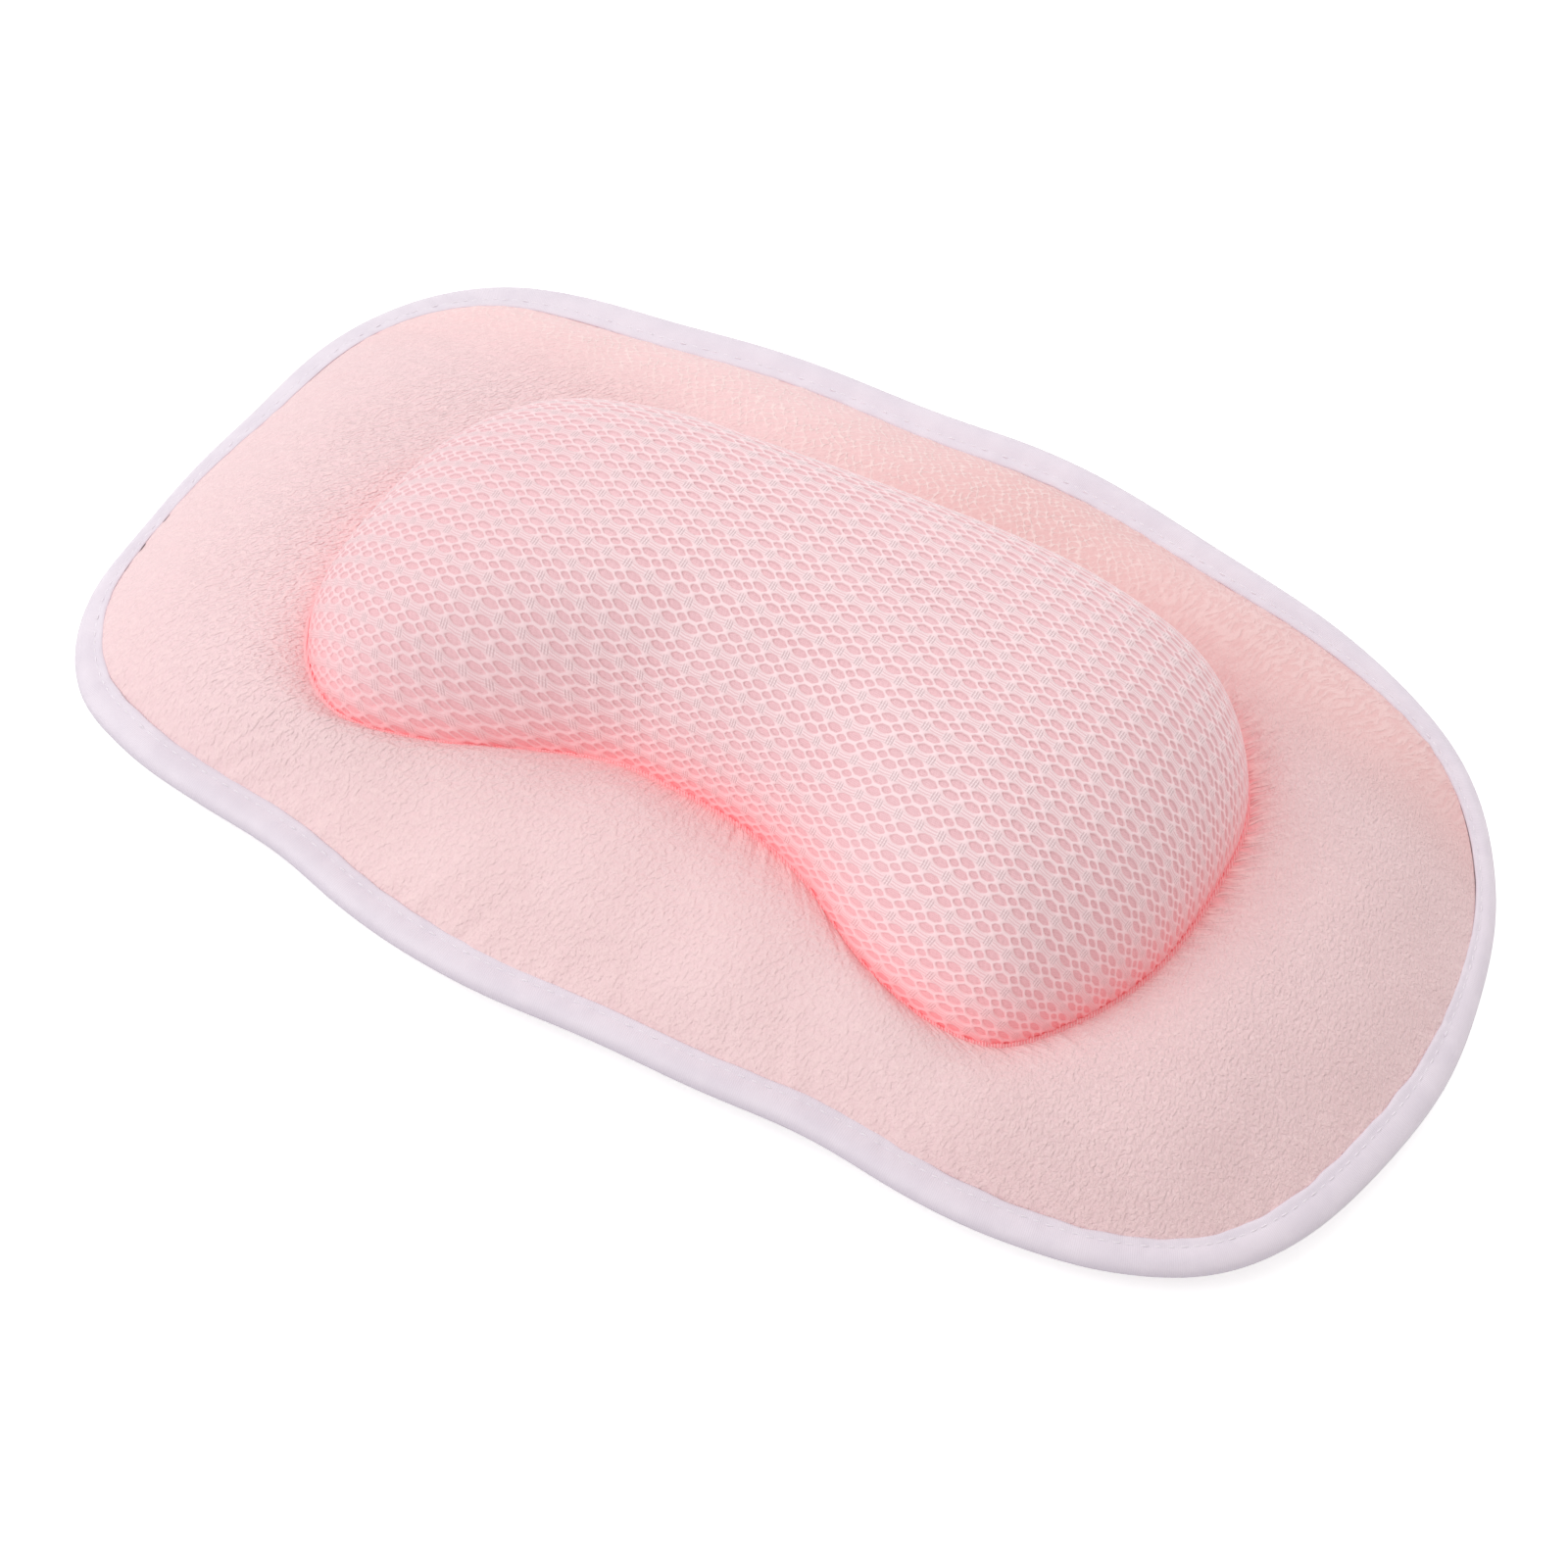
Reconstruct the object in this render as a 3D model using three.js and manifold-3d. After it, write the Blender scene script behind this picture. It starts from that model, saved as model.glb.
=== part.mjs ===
// Bath pillow: a soft oblong pad edged with woven tape, a bean shaped neck bolster
// under open net sewn into its middle, and six suction cups under its back.
// Millimetres, +Z up. The long side runs along X, the hollow of the bean faces -Y
// and the cup lips stand on the plane Z = 0.

import * as THREE from "three";
import { mergeVertices } from "three/addons/utils/BufferGeometryUtils.js";
import Module from "manifold-3d";

const wasm = await Module();
wasm.setup();

// Fit between pieces
const clearance = 0.3;
const cutOverrun = 2;

// Plan of the pad and the bolster, read along spokes that fan out from the middle
const padLength = 400;
const bolsterLength = 260;
const bolsterForward = 10;
const spokeBearings = [
  0, 15, 30, 45, 60, 75, 90, 105, 120, 135, 150, 165, 180, 192, 203,
  212, 219, 225, 232, 241, 255, 270, 285, 299, 308, 315, 322, 331, 344,
];
const rimShares = [
  0.993, 0.965, 0.911, 0.796, 0.7, 0.667, 0.649, 0.644, 0.697, 0.798, 0.965, 1.014, 0.993, 1.003, 1.038,
  1.012, 0.927, 0.849, 0.776, 0.733, 0.677, 0.646, 0.66, 0.707, 0.785, 0.864, 0.942, 1.002, 1.009,
];
const seamShares = [
  0.958, 0.954, 0.885, 0.712, 0.573, 0.492, 0.458, 0.457, 0.488, 0.565, 0.73, 0.913, 0.99, 1.021, 1.057,
  1.039, 0.977, 0.795, 0.57, 0.454, 0.402, 0.389, 0.414, 0.505, 0.693, 0.85, 0.954, 0.972, 0.974,
];
const columnsPerSpoke = 2;

// Cloth
const coverThickness = 1.2;
const netThickness = 1.6;
const groundThickness = 1;
const basePanelThickness = 0.8;

// Binding tape, folded over the pad's raw edge
const tapeWidth = 10;
const tapeThickness = 0.9;
const tapeFoldDepth = 2;
const noseShoulderShare = 0.3;
const noseLiftShare = 0.65;
const longSideRoll = THREE.MathUtils.degToRad(6);
const endRoll = THREE.MathUtils.degToRad(34);
const rimSag = 1;

// Pad stuffing
const waddingUnderBolster = 10.4;
const seamRise = 3;
const padCrownShare = 0.13;
const padRowShares = [0.06, 0.2, 0.45, 0.75, 0.92];
const waddingEdgeShare = 0.98;
const backFlatShare = 0.8;

// Bolster dome: walls that rise from the seam and close on a bowed ridge. The wall
// power is low where the wall stands steep, and higher on the gentler back.
const bolsterHeight = 57.6;
const domeFrontPower = 2 / 3;
const domeBackPower = 0.8;
const domeBackReach = 50;
const domeRowAngles = [0, 14, 32, 52, 72].map(THREE.MathUtils.degToRad);
const ridgeLengthShare = 0.42;
const ridgeForward = 2;
const ridgeBow = 38;
const ridgeEndFall = 7;

// Suction cups, in two rows of three
const cupEndInset = 105;
const cupSideInset = 70;
const cupColumns = [-1, 0, 1];
const cupRows = [-1, 1];
const cupSegments = 28;
const cupHeight = 12.7;
const cupLipRadius = 20;
const cupLipWidth = 1.8;
const cupHollowDepth = 3.8;
const cupSkirtThickness = 1.3;
const cupShoulderRadius = 8.5;
const cupWaistRadius = 7;
const cupNeckRadius = 4;
const cupHeadRadius = 7;
const cupHeadThickness = 1.6;
const cupHeadDome = 1.8;
const cupHeadTopShare = 0.6;

// Patch and washer that clamp the back cover at each cup
const patchRadius = 15;
const patchThickness = 0.8;
const washerRadius = 10;
const washerThickness = 1.2;
const ringSegments = 20;

// Levels, from the cup lips up
const patchUnderside = cupHeight + clearance;
const backUnderside = patchUnderside + patchThickness + clearance;
const backTop = backUnderside + coverThickness;
const waddingUnderside = backTop + clearance;
const waddingTop = waddingUnderside + waddingUnderBolster;
const basePanelUnderside = waddingTop + clearance;
const domeBase = basePanelUnderside + basePanelThickness + clearance;
const seamTop = domeBase + seamRise;
const washerUnderside = backTop + clearance;
const headUnderside = washerUnderside + washerThickness + clearance;
const tapeHeight = backUnderside - rimSag;

// Half depths of the sewn edge, measured from the middle of its thickness
const coverInnerLift = clearance / 2;
const coverOuterLift = coverInnerLift + coverThickness;
const tapeInnerLift = coverOuterLift + clearance;
const tapeOuterLift = tapeInnerLift + tapeThickness;
const coverEdgeInset = tapeFoldDepth + clearance;
const padInset = tapeWidth + clearance;

const materials = {
  cover: cloth(0xf4cdd0, 0.9),
  wadding: cloth(0xf3f1ee, 1),
  backCover: cloth(0xefc6ca, 0.9),
  tape: cloth(0xe9e1ee, 0.65),
  net: cloth(0xfadfe2, 0.8),
  ground: cloth(0xf2b0b6, 0.85),
  foam: cloth(0xf6eedb, 0.95),
  panel: cloth(0xf7f3f0, 0.9),
  vinyl: cloth(0xdfe8ee, 0.2),
  patch: cloth(0xe3d9e8, 0.7),
  washer: cloth(0xf2f2f0, 0.4),
};

function cloth(color, roughness) {
  return new THREE.MeshStandardMaterial({ color, roughness, metalness: 0 });
}

// Closed plan curve through one point on each spoke
function spokeCurve(reachShares, halfLength, middle) {
  const points = spokeBearings.map((bearing, i) => {
    const angle = THREE.MathUtils.degToRad(bearing);
    const reach = reachShares[i] * halfLength;
    return new THREE.Vector3(reach * Math.cos(angle), reach * Math.sin(angle), 0).add(middle);
  });
  return new THREE.CatmullRomCurve3(points, true, "centripetal");
}

const padMiddle = new THREE.Vector3();
const bolsterMiddle = new THREE.Vector3(0, -bolsterForward, 0);
const rimCurve = spokeCurve(rimShares, padLength / 2, padMiddle);
const seamCurve = spokeCurve(seamShares, bolsterLength / 2, bolsterMiddle);
const columnCount = spokeBearings.length * columnsPerSpoke;
const rimBox = new THREE.Box3().setFromPoints(rimCurve.getPoints(columnCount));
const rimCentre = rimBox.getCenter(new THREE.Vector3());
const rimSize = rimBox.getSize(new THREE.Vector3());

// One column of each surface runs outward over the seam point and the rim point
const columns = Array.from({ length: columnCount }, (_, i) => {
  const u = i / columnCount;
  const rim = rimCurve.getPoint(u).sub(rimCentre);
  const along = rimCurve.getTangent(u);
  const inward = new THREE.Vector3(-along.y, along.x, 0).normalize();
  const endShare = (2 * rim.x / padLength) ** 2;
  const roll = THREE.MathUtils.lerp(longSideRoll, endRoll, Math.min(endShare, 1));
  return { rim, inward, roll, seam: seamCurve.getPoint(u) };
});

// Point in the sewn edge: inset from its fold, lift from the middle of its thickness
function edgePoint(column, inset, lift) {
  const { rim, inward, roll } = column;
  const point = rim.clone().addScaledVector(inward, inset * Math.cos(roll) - lift * Math.sin(roll));
  point.z = tapeHeight - (tapeWidth - inset) * Math.sin(roll) + lift * Math.cos(roll);
  return point;
}

// Point of the seam at a given height, moved out along its reach by an offset
function seamPoint(column, offset, height) {
  const reach = column.seam.clone().sub(bolsterMiddle);
  const point = bolsterMiddle.clone().addScaledVector(reach, 1 + offset / reach.length());
  point.z = height;
  return point;
}

// Point on the stuffed top of the pad, from the seam at 0 to the tape at 1
function padTopPoint(column, share, depth) {
  const start = seamPoint(column, clearance, seamTop);
  const end = edgePoint(column, padInset, coverOuterLift);
  const crown = padCrownShare * start.distanceTo(end);
  const point = start.lerp(end, share);
  point.z += crown * 4 * share * (1 - share) - depth;
  return point;
}

// Point on the back of the pad, from its middle at 0 to the tape at 1
function padBackPoint(column, share, flatHeight, edgeLift) {
  const end = edgePoint(column, padInset, edgeLift);
  const point = end.clone().multiplyScalar(share);
  const fall = THREE.MathUtils.smoothstep(share, backFlatShare, 1);
  point.z = THREE.MathUtils.lerp(flatHeight, end.z, fall);
  return point;
}

// Point on the bolster's dome, shrunk inside its outer face by a given inset
function domePoint(column, angle, inset) {
  const ridge = ridgePoint(column.seam.x * ridgeLengthShare);
  const wall = seamPoint(column, -inset, 0);
  const backShare = THREE.MathUtils.smoothstep(column.seam.y, -bolsterForward, domeBackReach);
  const wallPower = THREE.MathUtils.lerp(domeFrontPower, domeBackPower, backShare);
  const point = ridge.lerp(wall, Math.cos(angle) ** wallPower);
  const endShare = (2 * point.x / bolsterLength) ** 2;
  point.z = domeBase + (bolsterHeight - inset - ridgeEndFall * endShare) * Math.sin(angle);
  return point;
}

// Plan place of the ridge, bowed towards the front at both ends like the bean
function ridgePoint(x) {
  return new THREE.Vector3(x, -ridgeForward - ridgeBow * (2 * x / bolsterLength) ** 2, 0);
}

function ring(place) {
  return columns.map(place);
}

// Closed surface through a list of rings. A single point at either end closes it
// with a fan, and without such points the last ring joins the first. Each four
// sided face is split along its shorter diagonal, so that nested skins fold alike.
function skin(rings) {
  const points = rings.flat();
  const starts = rings.map((_, i) => rings.slice(0, i).flat().length);
  const corner = (band, i) => starts[band] + (rings[band].length > 1 ? i : 0);
  const faces = [];
  const bands = rings[0].length === 1 ? rings.length - 1 : rings.length;
  for (let band = 0; band < bands; band += 1) {
    const upper = (band + 1) % rings.length;
    for (let i = 0; i < columns.length; i += 1) {
      const next = (i + 1) % columns.length;
      const [a, b] = [corner(band, i), corner(band, next)];
      const [c, d] = [corner(upper, next), corner(upper, i)];
      const splitsAtA = points[a].distanceTo(points[c]) < points[b].distanceTo(points[d]);
      const halves = splitsAtA ? [[a, b, c], [a, c, d]] : [[a, b, d], [b, c, d]];
      faces.push(...halves.filter(([p, q, r]) => p !== q && q !== r && r !== p).flat());
    }
  }
  const geometry = new THREE.BufferGeometry();
  geometry.setAttribute("position", new THREE.Float32BufferAttribute(points.flatMap((p) => [...p]), 3));
  geometry.setIndex(faces);
  return geometry;
}

// Turned shape about +Z from radius and height pairs
function turned(profile, segments) {
  const points = profile.map(([radius, height]) => new THREE.Vector2(radius, height));
  return new THREE.LatheGeometry(points, segments).rotateX(Math.PI / 2);
}

function welded(geometry) {
  const bare = geometry.clone();
  bare.deleteAttribute("normal");
  bare.deleteAttribute("uv");
  return mergeVertices(bare);
}

function toManifold(geometry) {
  const solid = welded(geometry);
  return new wasm.Manifold(new wasm.Mesh({
    numProp: 3,
    vertProperties: new Float32Array(solid.attributes.position.array),
    triVerts: new Uint32Array(solid.index.array),
  }));
}

function fromManifold(solid) {
  const mesh = solid.getMesh();
  const geometry = new THREE.BufferGeometry();
  geometry.setAttribute("position", new THREE.Float32BufferAttribute(mesh.vertProperties, 3));
  geometry.setIndex(Array.from(mesh.triVerts));
  return geometry;
}

// Solid cutter, one cylinder standing at each cup
function cupCutter(radius, bottom, top) {
  const cutters = cupPlaces.map(({ x, y }) => {
    const cylinder = new THREE.CylinderGeometry(radius, radius, top - bottom, ringSegments);
    cylinder.rotateX(Math.PI / 2).translate(x, y, (top + bottom) / 2);
    return toManifold(cylinder);
  });
  return cutters.reduce((sum, cutter) => sum.add(cutter));
}

const cupPlaces = cupRows.flatMap((row) => cupColumns.map((column) => ({
  x: column * (padLength / 2 - cupEndInset),
  y: row * (rimSize.y / 2 - cupSideInset),
})));

// Ring of knitted cloth that covers the stuffing between the seam and the tape
function padTopCover() {
  const rows = [0, ...padRowShares, 1];
  const outer = rows.map((share) => ring((column) => padTopPoint(column, share, 0)));
  const inner = rows.slice(0, -1).map((share) => ring((column) => padTopPoint(column, share, coverThickness)));
  const hem = [
    ring((column) => edgePoint(column, coverEdgeInset, coverOuterLift)),
    ring((column) => edgePoint(column, coverEdgeInset, coverInnerLift)),
    ring((column) => edgePoint(column, padInset, coverInnerLift)),
  ];
  return skin([...outer, ...hem, ...inner.reverse()].reverse());
}

// Stuffing of the pad, level under the bolster, with a pocket round each cup head
function padWadding() {
  const depth = coverThickness + clearance;
  const bottom = new THREE.Vector3(0, 0, waddingUnderside);
  const top = bolsterMiddle.clone().setZ(waddingTop);
  const backLift = clearance - coverInnerLift;
  const body = toManifold(skin([
    [bottom],
    ring((column) => padBackPoint(column, backFlatShare, waddingUnderside, backLift)),
    ring((column) => padBackPoint(column, waddingEdgeShare, waddingUnderside, backLift)),
    ...[...padRowShares].reverse().map((share) => ring((column) => padTopPoint(column, share, depth))),
    ring((column) => padTopPoint(column, 0, depth)),
    ring((column) => seamPoint(column, clearance, waddingTop)),
    [top],
  ]));
  const pocketTop = headUnderside + cupHeadThickness + cupHeadDome + clearance;
  const pockets = cupCutter(washerRadius + clearance, waddingUnderside - cutOverrun, pocketTop);
  return fromManifold(body.subtract(pockets));
}

// Cloth of the back, level where the cups stand and drawn down to the tape
function padBackCover() {
  const rows = [backFlatShare, 1];
  const upper = rows.map((share) => ring((column) => padBackPoint(column, share, backTop, -coverInnerLift)));
  const lower = rows.map((share) => ring((column) => padBackPoint(column, share, backUnderside, -coverOuterLift)));
  const sheet = toManifold(skin([
    [padMiddle.clone().setZ(backUnderside)],
    ...lower,
    ring((column) => edgePoint(column, coverEdgeInset, -coverOuterLift)),
    ring((column) => edgePoint(column, coverEdgeInset, -coverInnerLift)),
    ...upper.reverse(),
    [padMiddle.clone().setZ(backTop)],
  ]));
  const holes = cupCutter(cupNeckRadius + clearance, backUnderside - cutOverrun, backTop + cutOverrun);
  return fromManifold(sheet.subtract(holes));
}

// Woven tape folded round the raw edges of both covers
function edgeBinding() {
  const section = [
    [tapeWidth, tapeOuterLift],
    [tapeFoldDepth, tapeOuterLift],
    [tapeFoldDepth * noseShoulderShare, tapeOuterLift * noseLiftShare],
    [0, 0],
    [tapeFoldDepth * noseShoulderShare, -tapeOuterLift * noseLiftShare],
    [tapeFoldDepth, -tapeOuterLift],
    [tapeWidth, -tapeOuterLift],
    [tapeWidth, -tapeInnerLift],
    [tapeFoldDepth, -tapeInnerLift],
    [tapeFoldDepth, tapeInnerLift],
    [tapeWidth, tapeInnerLift],
  ];
  return skin(section.map(([inset, lift]) => ring((column) => edgePoint(column, inset, lift))).reverse());
}

// Hollow dome of cloth, open at the bottom where it is sewn into the seam
function domeShell(inset, thickness) {
  const crown = (depth) => [ridgePoint(0).setZ(domeBase + bolsterHeight - depth)];
  const wall = (depth) => domeRowAngles.map((angle) => ring((column) => domePoint(column, angle, depth)));
  return skin([
    crown(inset + thickness),
    ...wall(inset + thickness).reverse(),
    ...wall(inset),
    crown(inset),
  ]);
}

function bolsterNet() {
  return domeShell(0, netThickness);
}

function bolsterGround() {
  return domeShell(netThickness + clearance, groundThickness);
}

// Foam that fills the dome
function bolsterCore() {
  const inset = netThickness + clearance + groundThickness + clearance;
  return skin([
    [bolsterMiddle.clone().setZ(domeBase)],
    ...domeRowAngles.map((angle) => ring((column) => domePoint(column, angle, inset))),
    [ridgePoint(0).setZ(domeBase + bolsterHeight - inset)],
  ]);
}

// Plain cloth that closes the bolster from below
function bolsterBasePanel() {
  const top = basePanelUnderside + basePanelThickness;
  return skin([
    [bolsterMiddle.clone().setZ(basePanelUnderside)],
    ring((column) => seamPoint(column, 0, basePanelUnderside)),
    ring((column) => seamPoint(column, 0, top)),
    [bolsterMiddle.clone().setZ(top)],
  ]);
}

// Moulded cup: a thin bell, a shoulder against the patch, a neck through the cloth
// and a head that holds it from inside
function suctionCup() {
  const lipInnerRadius = cupLipRadius - cupLipWidth;
  const hollow = (share) => [lipInnerRadius * Math.sin(share * Math.PI / 2), cupHollowDepth * Math.cos(share * Math.PI / 2)];
  const bellTop = cupHollowDepth + cupSkirtThickness;
  const headEdge = headUnderside + cupHeadThickness;
  return turned([
    [0, cupHollowDepth],
    hollow(1 / 3),
    hollow(2 / 3),
    [lipInnerRadius, 0],
    [cupLipRadius, 0],
    [cupLipRadius, cupSkirtThickness / 2],
    [(cupLipRadius + cupWaistRadius) / 2, bellTop - cupSkirtThickness / 2],
    [cupWaistRadius, bellTop + cupSkirtThickness],
    [cupWaistRadius, cupHeight - cupSkirtThickness],
    [cupShoulderRadius, cupHeight - cupSkirtThickness / 2],
    [cupShoulderRadius, cupHeight],
    [cupNeckRadius, cupHeight],
    [cupNeckRadius, headUnderside],
    [cupHeadRadius, headUnderside],
    [cupHeadRadius, headEdge],
    [cupHeadRadius * cupHeadTopShare, headEdge + cupHeadDome],
    [0, headEdge + cupHeadDome],
  ], cupSegments);
}

// Flat disc with a hole for the cup's neck
function collar(radius, bottom, thickness) {
  const bore = cupNeckRadius + clearance;
  return turned([
    [bore, bottom],
    [radius, bottom],
    [radius, bottom + thickness],
    [bore, bottom + thickness],
    [bore, bottom],
  ], ringSegments);
}

function subPart(name, geometry, material) {
  const solid = new THREE.Mesh(welded(geometry), material);
  solid.name = name;
  return solid;
}

function bathPillow() {
  const pillow = new THREE.Group();
  pillow.name = "bath_pillow";
  pillow.add(
    subPart("pad_top_cover", padTopCover(), materials.cover),
    subPart("pad_wadding", padWadding(), materials.wadding),
    subPart("pad_back_cover", padBackCover(), materials.backCover),
    subPart("edge_binding", edgeBinding(), materials.tape),
    subPart("bolster_net", bolsterNet(), materials.net),
    subPart("bolster_ground_cloth", bolsterGround(), materials.ground),
    subPart("bolster_core", bolsterCore(), materials.foam),
    subPart("bolster_base_panel", bolsterBasePanel(), materials.panel),
  );
  cupPlaces.forEach(({ x, y }, i) => {
    const patch = collar(patchRadius, patchUnderside, patchThickness);
    const washer = collar(washerRadius, washerUnderside, washerThickness);
    pillow.add(
      subPart(`suction_cup_${i + 1}`, suctionCup().translate(x, y, 0), materials.vinyl),
      subPart(`cup_patch_${i + 1}`, patch.translate(x, y, 0), materials.patch),
      subPart(`cup_washer_${i + 1}`, washer.translate(x, y, 0), materials.washer),
    );
  });
  return pillow;
}

export default bathPillow();
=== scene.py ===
import math

import bmesh
import bpy
import numpy as np
from mathutils import Matrix, Vector


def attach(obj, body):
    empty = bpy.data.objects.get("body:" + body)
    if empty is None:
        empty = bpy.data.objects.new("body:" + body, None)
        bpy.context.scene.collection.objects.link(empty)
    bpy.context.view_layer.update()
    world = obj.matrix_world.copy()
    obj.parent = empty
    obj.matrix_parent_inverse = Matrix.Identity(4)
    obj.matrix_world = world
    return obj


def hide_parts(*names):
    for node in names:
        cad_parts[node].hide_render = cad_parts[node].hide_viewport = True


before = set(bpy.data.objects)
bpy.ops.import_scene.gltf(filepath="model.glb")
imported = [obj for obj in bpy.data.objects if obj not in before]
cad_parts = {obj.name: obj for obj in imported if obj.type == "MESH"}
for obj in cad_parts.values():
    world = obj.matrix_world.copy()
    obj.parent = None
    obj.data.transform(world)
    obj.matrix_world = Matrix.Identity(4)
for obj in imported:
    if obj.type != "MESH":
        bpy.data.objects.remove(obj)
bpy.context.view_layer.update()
scene = bpy.context.scene
rng = np.random.default_rng(41)

view = {
    "bearing": 23.754,          # degrees round from the front, towards the right end
    "height": 50.362,           # degrees above the floor
    "tilt": 8.381,              # the photograph is turned by this much
    "distance": 0.86215,
    "target": (0.00267, -0.02202, 0.0035),
    "focal": 3161.6,            # in pixels of the 1600 pixel frame
    "frame": 1600,
    "sensor": 36,               # millimetres
    "clip": (0.05, 50),
}
light = {
    "aim": (0, 0, 0.03),        # both lamps look here
    "worldStrength": 0.70,
    "worldTint": (1.0, 0.985, 0.975, 1.0),
    "keyPlace": (-1.0, -0.9, 1.25),
    "keySize": 1.3,
    "keyPower": 12.9,
    "lampTint": (0.95, 0.98, 1.0),
    "backPlace": (0.0, 1.2, 1.25),
    "backSize": 1.3,
    "backPower": 7.3,
}


def makeCamera():
    # back is the unit vector from the target to the camera
    bearing, height, tilt = (math.radians(view[k]) for k in ("bearing", "height", "tilt"))
    level = math.cos(height)
    back = Vector((math.sin(bearing) * level, -math.cos(bearing) * level, math.sin(height)))
    right = Vector((math.cos(bearing), math.sin(bearing), 0))
    up = back.cross(right)
    turnedRight = right * math.cos(tilt) + up * math.sin(tilt)
    turnedUp = up * math.cos(tilt) - right * math.sin(tilt)
    camera = bpy.data.objects.new("camera", bpy.data.cameras.new("camera"))
    camera.data.sensor_width = view["sensor"]
    camera.data.lens = view["focal"] / view["frame"] * view["sensor"]
    camera.data.clip_start, camera.data.clip_end = view["clip"]
    place = Vector(view["target"]) + back * view["distance"]
    camera.matrix_world = Matrix((
        (turnedRight.x, turnedUp.x, back.x, place.x),
        (turnedRight.y, turnedUp.y, back.y, place.y),
        (turnedRight.z, turnedUp.z, back.z, place.z),
        (0, 0, 0, 1),
    ))
    scene.collection.objects.link(camera)
    scene.camera = camera


def makeLamp(name):
    place = Vector(light[name + "Place"])
    lamp = bpy.data.objects.new(name, bpy.data.lights.new(name, "AREA"))
    lamp.data.shape, lamp.data.size = "DISK", light[name + "Size"]
    lamp.data.energy, lamp.data.color = light[name + "Power"], light["lampTint"]
    lamp.location = place
    lamp.rotation_euler = (Vector(light["aim"]) - place).to_track_quat("-Z", "Y").to_euler()
    scene.collection.objects.link(lamp)


class Wire:
    # one socket of a node tree, so that shader maths reads as plain sums
    def __init__(self, tree, socket=None):
        self.tree, self.socket = tree, socket

    def make(self, kind, settings=None, inputs=None, out=0):
        node = self.tree.nodes.new(kind)
        for key, value in (settings or {}).items():
            setattr(node, key, value)
        for key, value in (inputs or {}).items():
            if isinstance(value, Wire):
                self.tree.links.new(value.socket, node.inputs[key])
            else:
                node.inputs[key].default_value = value
        return Wire(self.tree, node.outputs[out])

    def maths(self, operation, first, second=0.0):
        return self.make("ShaderNodeMath", {"operation": operation}, {0: first, 1: second})

    def __add__(self, other):
        return self.maths("ADD", self, other)

    def __sub__(self, other):
        return self.maths("SUBTRACT", self, other)

    def __rsub__(self, other):
        return self.maths("SUBTRACT", other, self)

    def __mul__(self, other):
        return self.maths("MULTIPLY", self, other)

    def __truediv__(self, other):
        return self.maths("DIVIDE", self, other)

    def __pow__(self, other):
        return self.maths("POWER", self, other)

    __radd__, __rmul__ = __add__, __mul__

    def sine(self, turnsPer=1.0):
        return self.maths("SINE", self * (2 * math.pi / turnsPer))

    def cosine(self, turnsPer=1.0):
        return self.maths("COSINE", self * (2 * math.pi / turnsPer))

    def size(self):
        return self.maths("ABSOLUTE", self)

    def wrapped(self):
        return self.maths("FRACT", self)

    def least(self, other):
        return self.maths("MINIMUM", self, other)

    def most(self, other):
        return self.maths("MAXIMUM", self, other)

    def ease(self, low, high):
        # 0 at low to 1 at high in a smooth step; it falls where low is the greater
        settings = {"interpolation_type": "SMOOTHSTEP"}
        inputs = {"Value": self, "From Min": low, "From Max": high}
        return self.make("ShaderNodeMapRange", settings, inputs)

    def blend(self, first, second):
        # the first colour where this is 0, the second where it is 1
        return self.make("ShaderNodeMix", {"data_type": "RGBA"}, {0: self, 6: first, 7: second}, 2)

    def between(self, pair):
        # the same for a pair of sRGB hex colours
        return self.blend(*map(tint, pair))


def tint(text):
    # sRGB hex to the linear colour that a socket holds
    parts = (int(text[i:i + 2], 16) / 255 for i in (1, 3, 5))
    linear = (c / 12.92 if c <= 0.04045 else ((c + 0.055) / 1.055) ** 2.4 for c in parts)
    return (*linear, 1.0)


class Finish:
    # a material with its principled shader, its coordinates and a bump chain
    def __init__(self, name, roughness=0.8, **constants):
        self.material = bpy.data.materials.new(name)
        self.material.use_nodes = True
        self.tree = self.material.node_tree
        self.shader = self.tree.nodes["Principled BSDF"]
        self.shader.inputs["Roughness"].default_value = roughness
        for key, value in constants.items():
            self.shader.inputs[key.replace("_", " ")].default_value = value
        self.start = Wire(self.tree)

    def place(self, uvName=None):
        # millimetre coordinates: the piece's own map, or its place in the object
        if uvName:
            source = self.start.make("ShaderNodeUVMap", {"uv_map": uvName})
        else:
            source = self.start.make("ShaderNodeTexCoord", out="Object")
        scale = 1.0 if uvName else 1000.0
        return self.start.make("ShaderNodeVectorMath", {"operation": "SCALE"}, {0: source, 3: scale})

    def split(self, vector):
        node = self.start.make("ShaderNodeSeparateXYZ", None, {0: vector})
        outs = node.socket.node.outputs
        return tuple(Wire(self.tree, outs[i]) for i in range(3))

    def join(self, x, y):
        return self.start.make("ShaderNodeCombineXYZ", None, {0: x, 1: y})

    def read(self, attribute):
        return self.start.make("ShaderNodeAttribute", {"attribute_name": attribute}, None, "Fac")

    def noise(self, vector, scale, detail=2.0):
        inputs = {"Vector": vector, "Scale": scale, "Detail": detail, "Roughness": 0.6}
        return self.start.make("ShaderNodeTexNoise", {"noise_dimensions": "3D"}, inputs)

    def colour(self, value):
        self.feed("Base Color", value)

    def feed(self, name, value):
        if isinstance(value, Wire):
            self.tree.links.new(value.socket, self.shader.inputs[name])
        else:
            self.shader.inputs[name].default_value = value

    def bump(self, height, depth):
        # height is about 0 to 1, depth is in millimetres
        inputs = {"Height": height, "Distance": depth / 1000, "Strength": 1.0}
        self.feed("Normal", self.start.make("ShaderNodeBump", None, inputs))
        return self.material


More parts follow.
